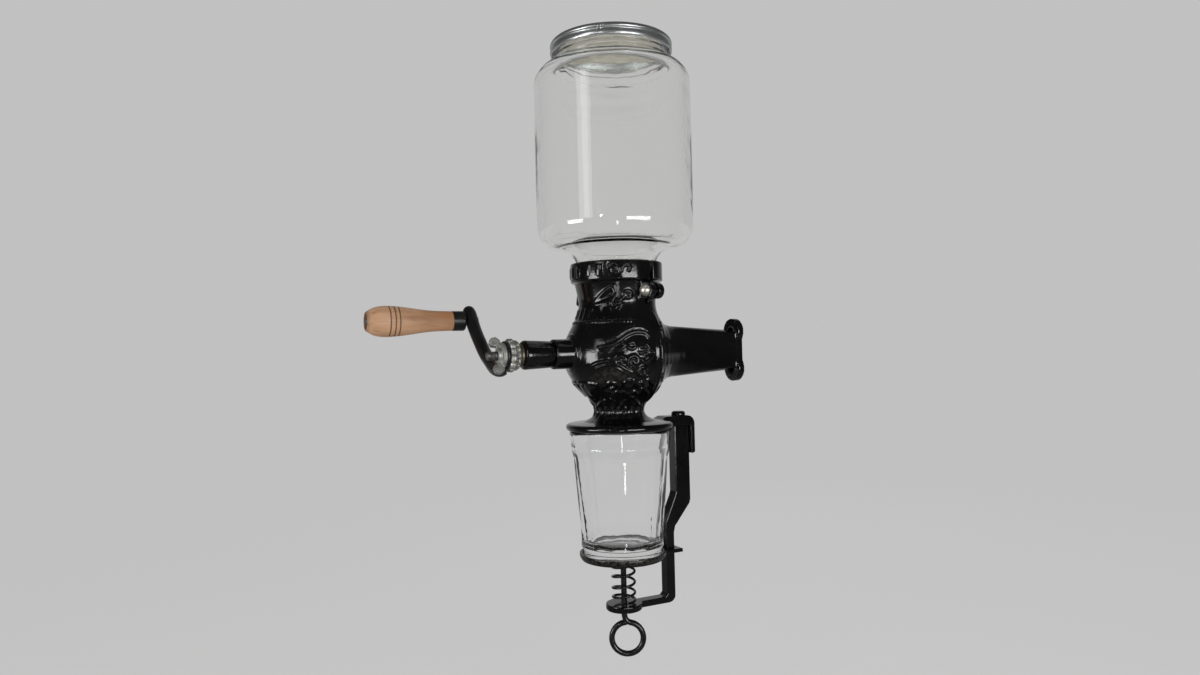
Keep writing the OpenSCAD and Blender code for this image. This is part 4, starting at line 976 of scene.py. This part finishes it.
# %% Crank rod
EYE_FRONT, EYE_REAR, EYE_BORE, ARM_Y, ROD_T = 84.2, 82.25, 2.9, -85.0, 9.1
arm = [(-12.4, -8.5), (-21.1, -4.6), (-31.6, 1), (-42.2, 9), (-52.1, 17.4), (-59.3, 25), (-63.8, 30),
       (-66.4, 31.8), (-68.2, 32)]
rod = bent_rod("crank_rod", [(0.5, -83.8, -7.8), (-5, -84.5, -9.3)] + [(x, ARM_Y, z) for x, z in arm], ROD_T,
               widths=[1, 1, 1, 1, 1, 1, 1, 1.02, 1.04, 0.98, 0.6])
eye_section = [(EYE_BORE, EYE_REAR), (8.8, EYE_REAR), (9.3, 82.5), (9.5, 83), (9.5, 83.5), (9.3, 84),
               (8.8, EYE_FRONT), (EYE_BORE, EYE_FRONT), (EYE_BORE, EYE_REAR)]
ring_eye = lathe("crank_eye", eye_section, ON_SHAFT, steps=72)
cutters = []
for name, r, low, high, steps in (("cutter_nut", 22, 60, EYE_REAR, 64), ("cutter_wing", 9, EYE_FRONT, 96, 64),
                                  ("cutter_stud", 3.02, 78, 100, 48)):
    cutters.append(lathe(name, [(0, low), (r, low), (r, high), (0, high)], ON_SHAFT, steps=steps))
apply_modifier(rod, "BOOLEAN", operation="UNION", object=ring_eye, solver="EXACT")
for cutter in cutters:
    apply_modifier(rod, "BOOLEAN", operation="DIFFERENCE", object=cutter, solver="EXACT")
for spare in [ring_eye, *cutters]:
    bpy.data.objects.remove(spare)
cast(rod, 0.4)
hand_over(rod, blackened_iron, "crank", "black_iron", "crank_arm")

# %% [markdown]
# The grip is turned wood with three narrow grooves round its thickest part. The outline is drawn with the
# grooves in it, and the depth of each vertex in a groove, and the handled end near the ferrule, are painted
# for the finish to read. The ferrule is a short black cap.

# %% Wooden grip and ferrule
GRIP_PLACE = (-62, -89.6, 25)
GRIP = Matrix.Translation(mill(*GRIP_PLACE)) @ Matrix.Rotation(math.pi / 2, 4, "X")
GROOVES, GROOVE_W, GROOVE_H = (47.6, 50.6, 54.0), 0.55, 0.55
WOOD_START, WOOD_END, SPINDLE_BORE = 9.45, 68.9, 3.06


def groove_depth(along):
    """Share of a groove's depth at places along the grip."""
    return sum(unit(1 - ((along - g) / GROOVE_W) ** 2) for g in GROOVES)


knots_h = [WOOD_START, 14, 20, 26, 32, 38, 44, 50, 54.6, 58, 61, 63.5, 65.5, 67.2, 68.4, WOOD_END]
knots_r = [6.85, 6.95, 7.1, 7.5, 8.2, 9.1, 9.9, 10.5, 10.7, 10.6, 10.2, 9.5, 8.6, 7.6, 6.8, 6.4]
rings = [g + GROOVE_W * np.linspace(-1, 1, 9) for g in GROOVES]
grip_h = np.unique(np.concatenate([np.linspace(WOOD_START, WOOD_END, 60), *rings]))
grip_r = np.interp(grip_h, knots_h, knots_r)
kernel = np.array([1, 2, 3, 2, 1]) / 9
grip_r[2:-2] = np.convolve(grip_r, kernel, "valid")
section = [(SPINDLE_BORE, 1.85), (5.75, 1.85), (5.75, 9.42)]
section += list(zip(grip_r - GROOVE_H * groove_depth(grip_h), grip_h))
section += [(5.6, WOOD_END), (5.45, 68.7), (5.4, 65.8), (SPINDLE_BORE, 65.8), (SPINDLE_BORE, 1.85)]
grip = lathe("turned_grip", section, GRIP)
along = GRIP_PLACE[1] - in_mill(points_of(grip))[1]
burnt_end = unit((along - 66.8) / 1.6)
paint(grip, "burnt", unit(groove_depth(along)) * 0.85 + 0.5 * burnt_end)
paint(grip, "handled", np.clip(1.15 - (along - 9) / 42, 0.1, 1))
hand_over(grip, oiled_wood, "grip", "wood", "wooden_grip", angle=35)

ferrule_section = [(SPINDLE_BORE, 0.35), (6, 0.35), (6.6, 0.5), (6.9, 0.9), (7, 1.6), (7, 8.8), (6.9, 9.3),
                   (6.75, 9.38), (5.8, 9.38), (5.8, 1.6), (SPINDLE_BORE, 1.6), (SPINDLE_BORE, 0.35)]
ferrule = lathe("grip_cap", ferrule_section, GRIP, steps=72)
hand_over(ferrule, blackened_iron, "grip", "black_iron", "grip_ferrule", angle=50)

# %% [markdown]
# A screw with a plain domed head draws the two ears of the split collar together. It is a turned piece,
# with rings in its outline for the thread on its tip.

# %% Clamp screw
CLAMP_PLACE = Vector((31.5, 0, 41)) * MM
CLAMP = UPRIGHT @ Matrix.Rotation(EAR_TURN, 4, "Z") @ Matrix.Translation(CLAMP_PLACE)
CLAMP = CLAMP @ Matrix.Rotation(math.pi / 2, 4, "X")
EAR, HEAD_R, THREAD_R, ROOT_R, RINGS, RING_STEP = 6.7, 4.0, 2.0, 1.7, 14, 0.7
screw_section = [(0, -EAR - 4), (1.6, -EAR - 4), (1.95, -EAR - 3.5)]
for k in range(RINGS):
    screw_section += [(THREAD_R, -EAR - 3.4 + k * RING_STEP), (ROOT_R, -EAR - 3.05 + k * RING_STEP)]
screw_section += [(THREAD_R, EAR), (HEAD_R, EAR), (HEAD_R, EAR + 0.5)]
screw_section += arc(0, EAR, HEAD_R, 12, 88, 9) + [(0, EAR + HEAD_R)]
clamp = lathe("collar_screw", screw_section, CLAMP, steps=64)
hand_over(clamp, dull_nickel, "mill_body", "nickel", "clamp_screw", angle=40)

# %% [markdown]
# The cup is let go by pulling the ring. Rod and ring are one bent wire that closes on itself under the foot
# of the holder. The spring round the rod is an open coil. It is drawn as a helix with its end turns closer
# together, at one length, though the real spring is squashed as the tray comes down.

# %% Pull rod and spring
RING_Z, RING_R, RING_SHIFT, WIRE = -195.9, 10.8, 1.8, 4.0
RING_TURN = math.radians(27)


def in_ring(along, z):
    """A point in the plane of the ring, which is turned about the rod."""
    return (along * math.sin(RING_TURN), along * math.cos(RING_TURN), z)


path = [in_ring(0, z) for z in (-138.4, -150, -165, -176, -180.5)] + [in_ring(1.4, -184)]
for turn in np.radians(np.linspace(58, -266, 17)):
    path.append(in_ring(RING_SHIFT + RING_R * math.cos(turn), RING_Z + RING_R * math.sin(turn)))
pull = bent_rod("pull_ring", path, WIRE)
hand_over(pull, spring_steel, "tray", "black_iron", "plunger_rod", angle=60)

SPRING_LOW, SPRING_HIGH, COIL_R, COILS, COIL_WIRE = -171.4, -142.4, 7.6, 4.5, 1.8
path = []
for t in np.linspace(0, 1, int(COILS * 14) + 1):
    rise = t - 0.045 * math.sin(2 * math.pi * t)
    turn = 2 * math.pi * COILS * t
    path.append((COIL_R * math.cos(turn), COIL_R * math.sin(turn),
                 SPRING_LOW + COIL_WIRE / 2 + rise * (SPRING_HIGH - SPRING_LOW - COIL_WIRE)))
coil = bent_rod("lift_coil", path, COIL_WIRE)
hand_over(coil, spring_steel, "mill_body", "spring_steel", "lift_spring", angle=60)
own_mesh(coil)

# %% [markdown]
# The parts that stay hidden inside, or show only through a gap, keep their CAD shapes and get a finish.

# %% Finishes of the inner parts
INNER_PARTS = {
    blackened_iron: ("bracket_screws",),
    burr_iron: ("stationary_burr", "rotating_burr", "feed_worm"),
    bright_steel: ("burr_screws", "burr_cross_pin"),
    spring_steel: ("thrust_spring",),
    stud_steel: ("grip_spindle", "grip_end_washer", "spring_seat"),
}
for material, names in INNER_PARTS.items():
    for name in names:
        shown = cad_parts[name]
        shown.data.materials.clear()
        shown.data.materials.append(material)
print("inner parts dressed")

# %% [markdown]
# Last, the selection is cleared.

# %% Clear the selection
clear_selection()
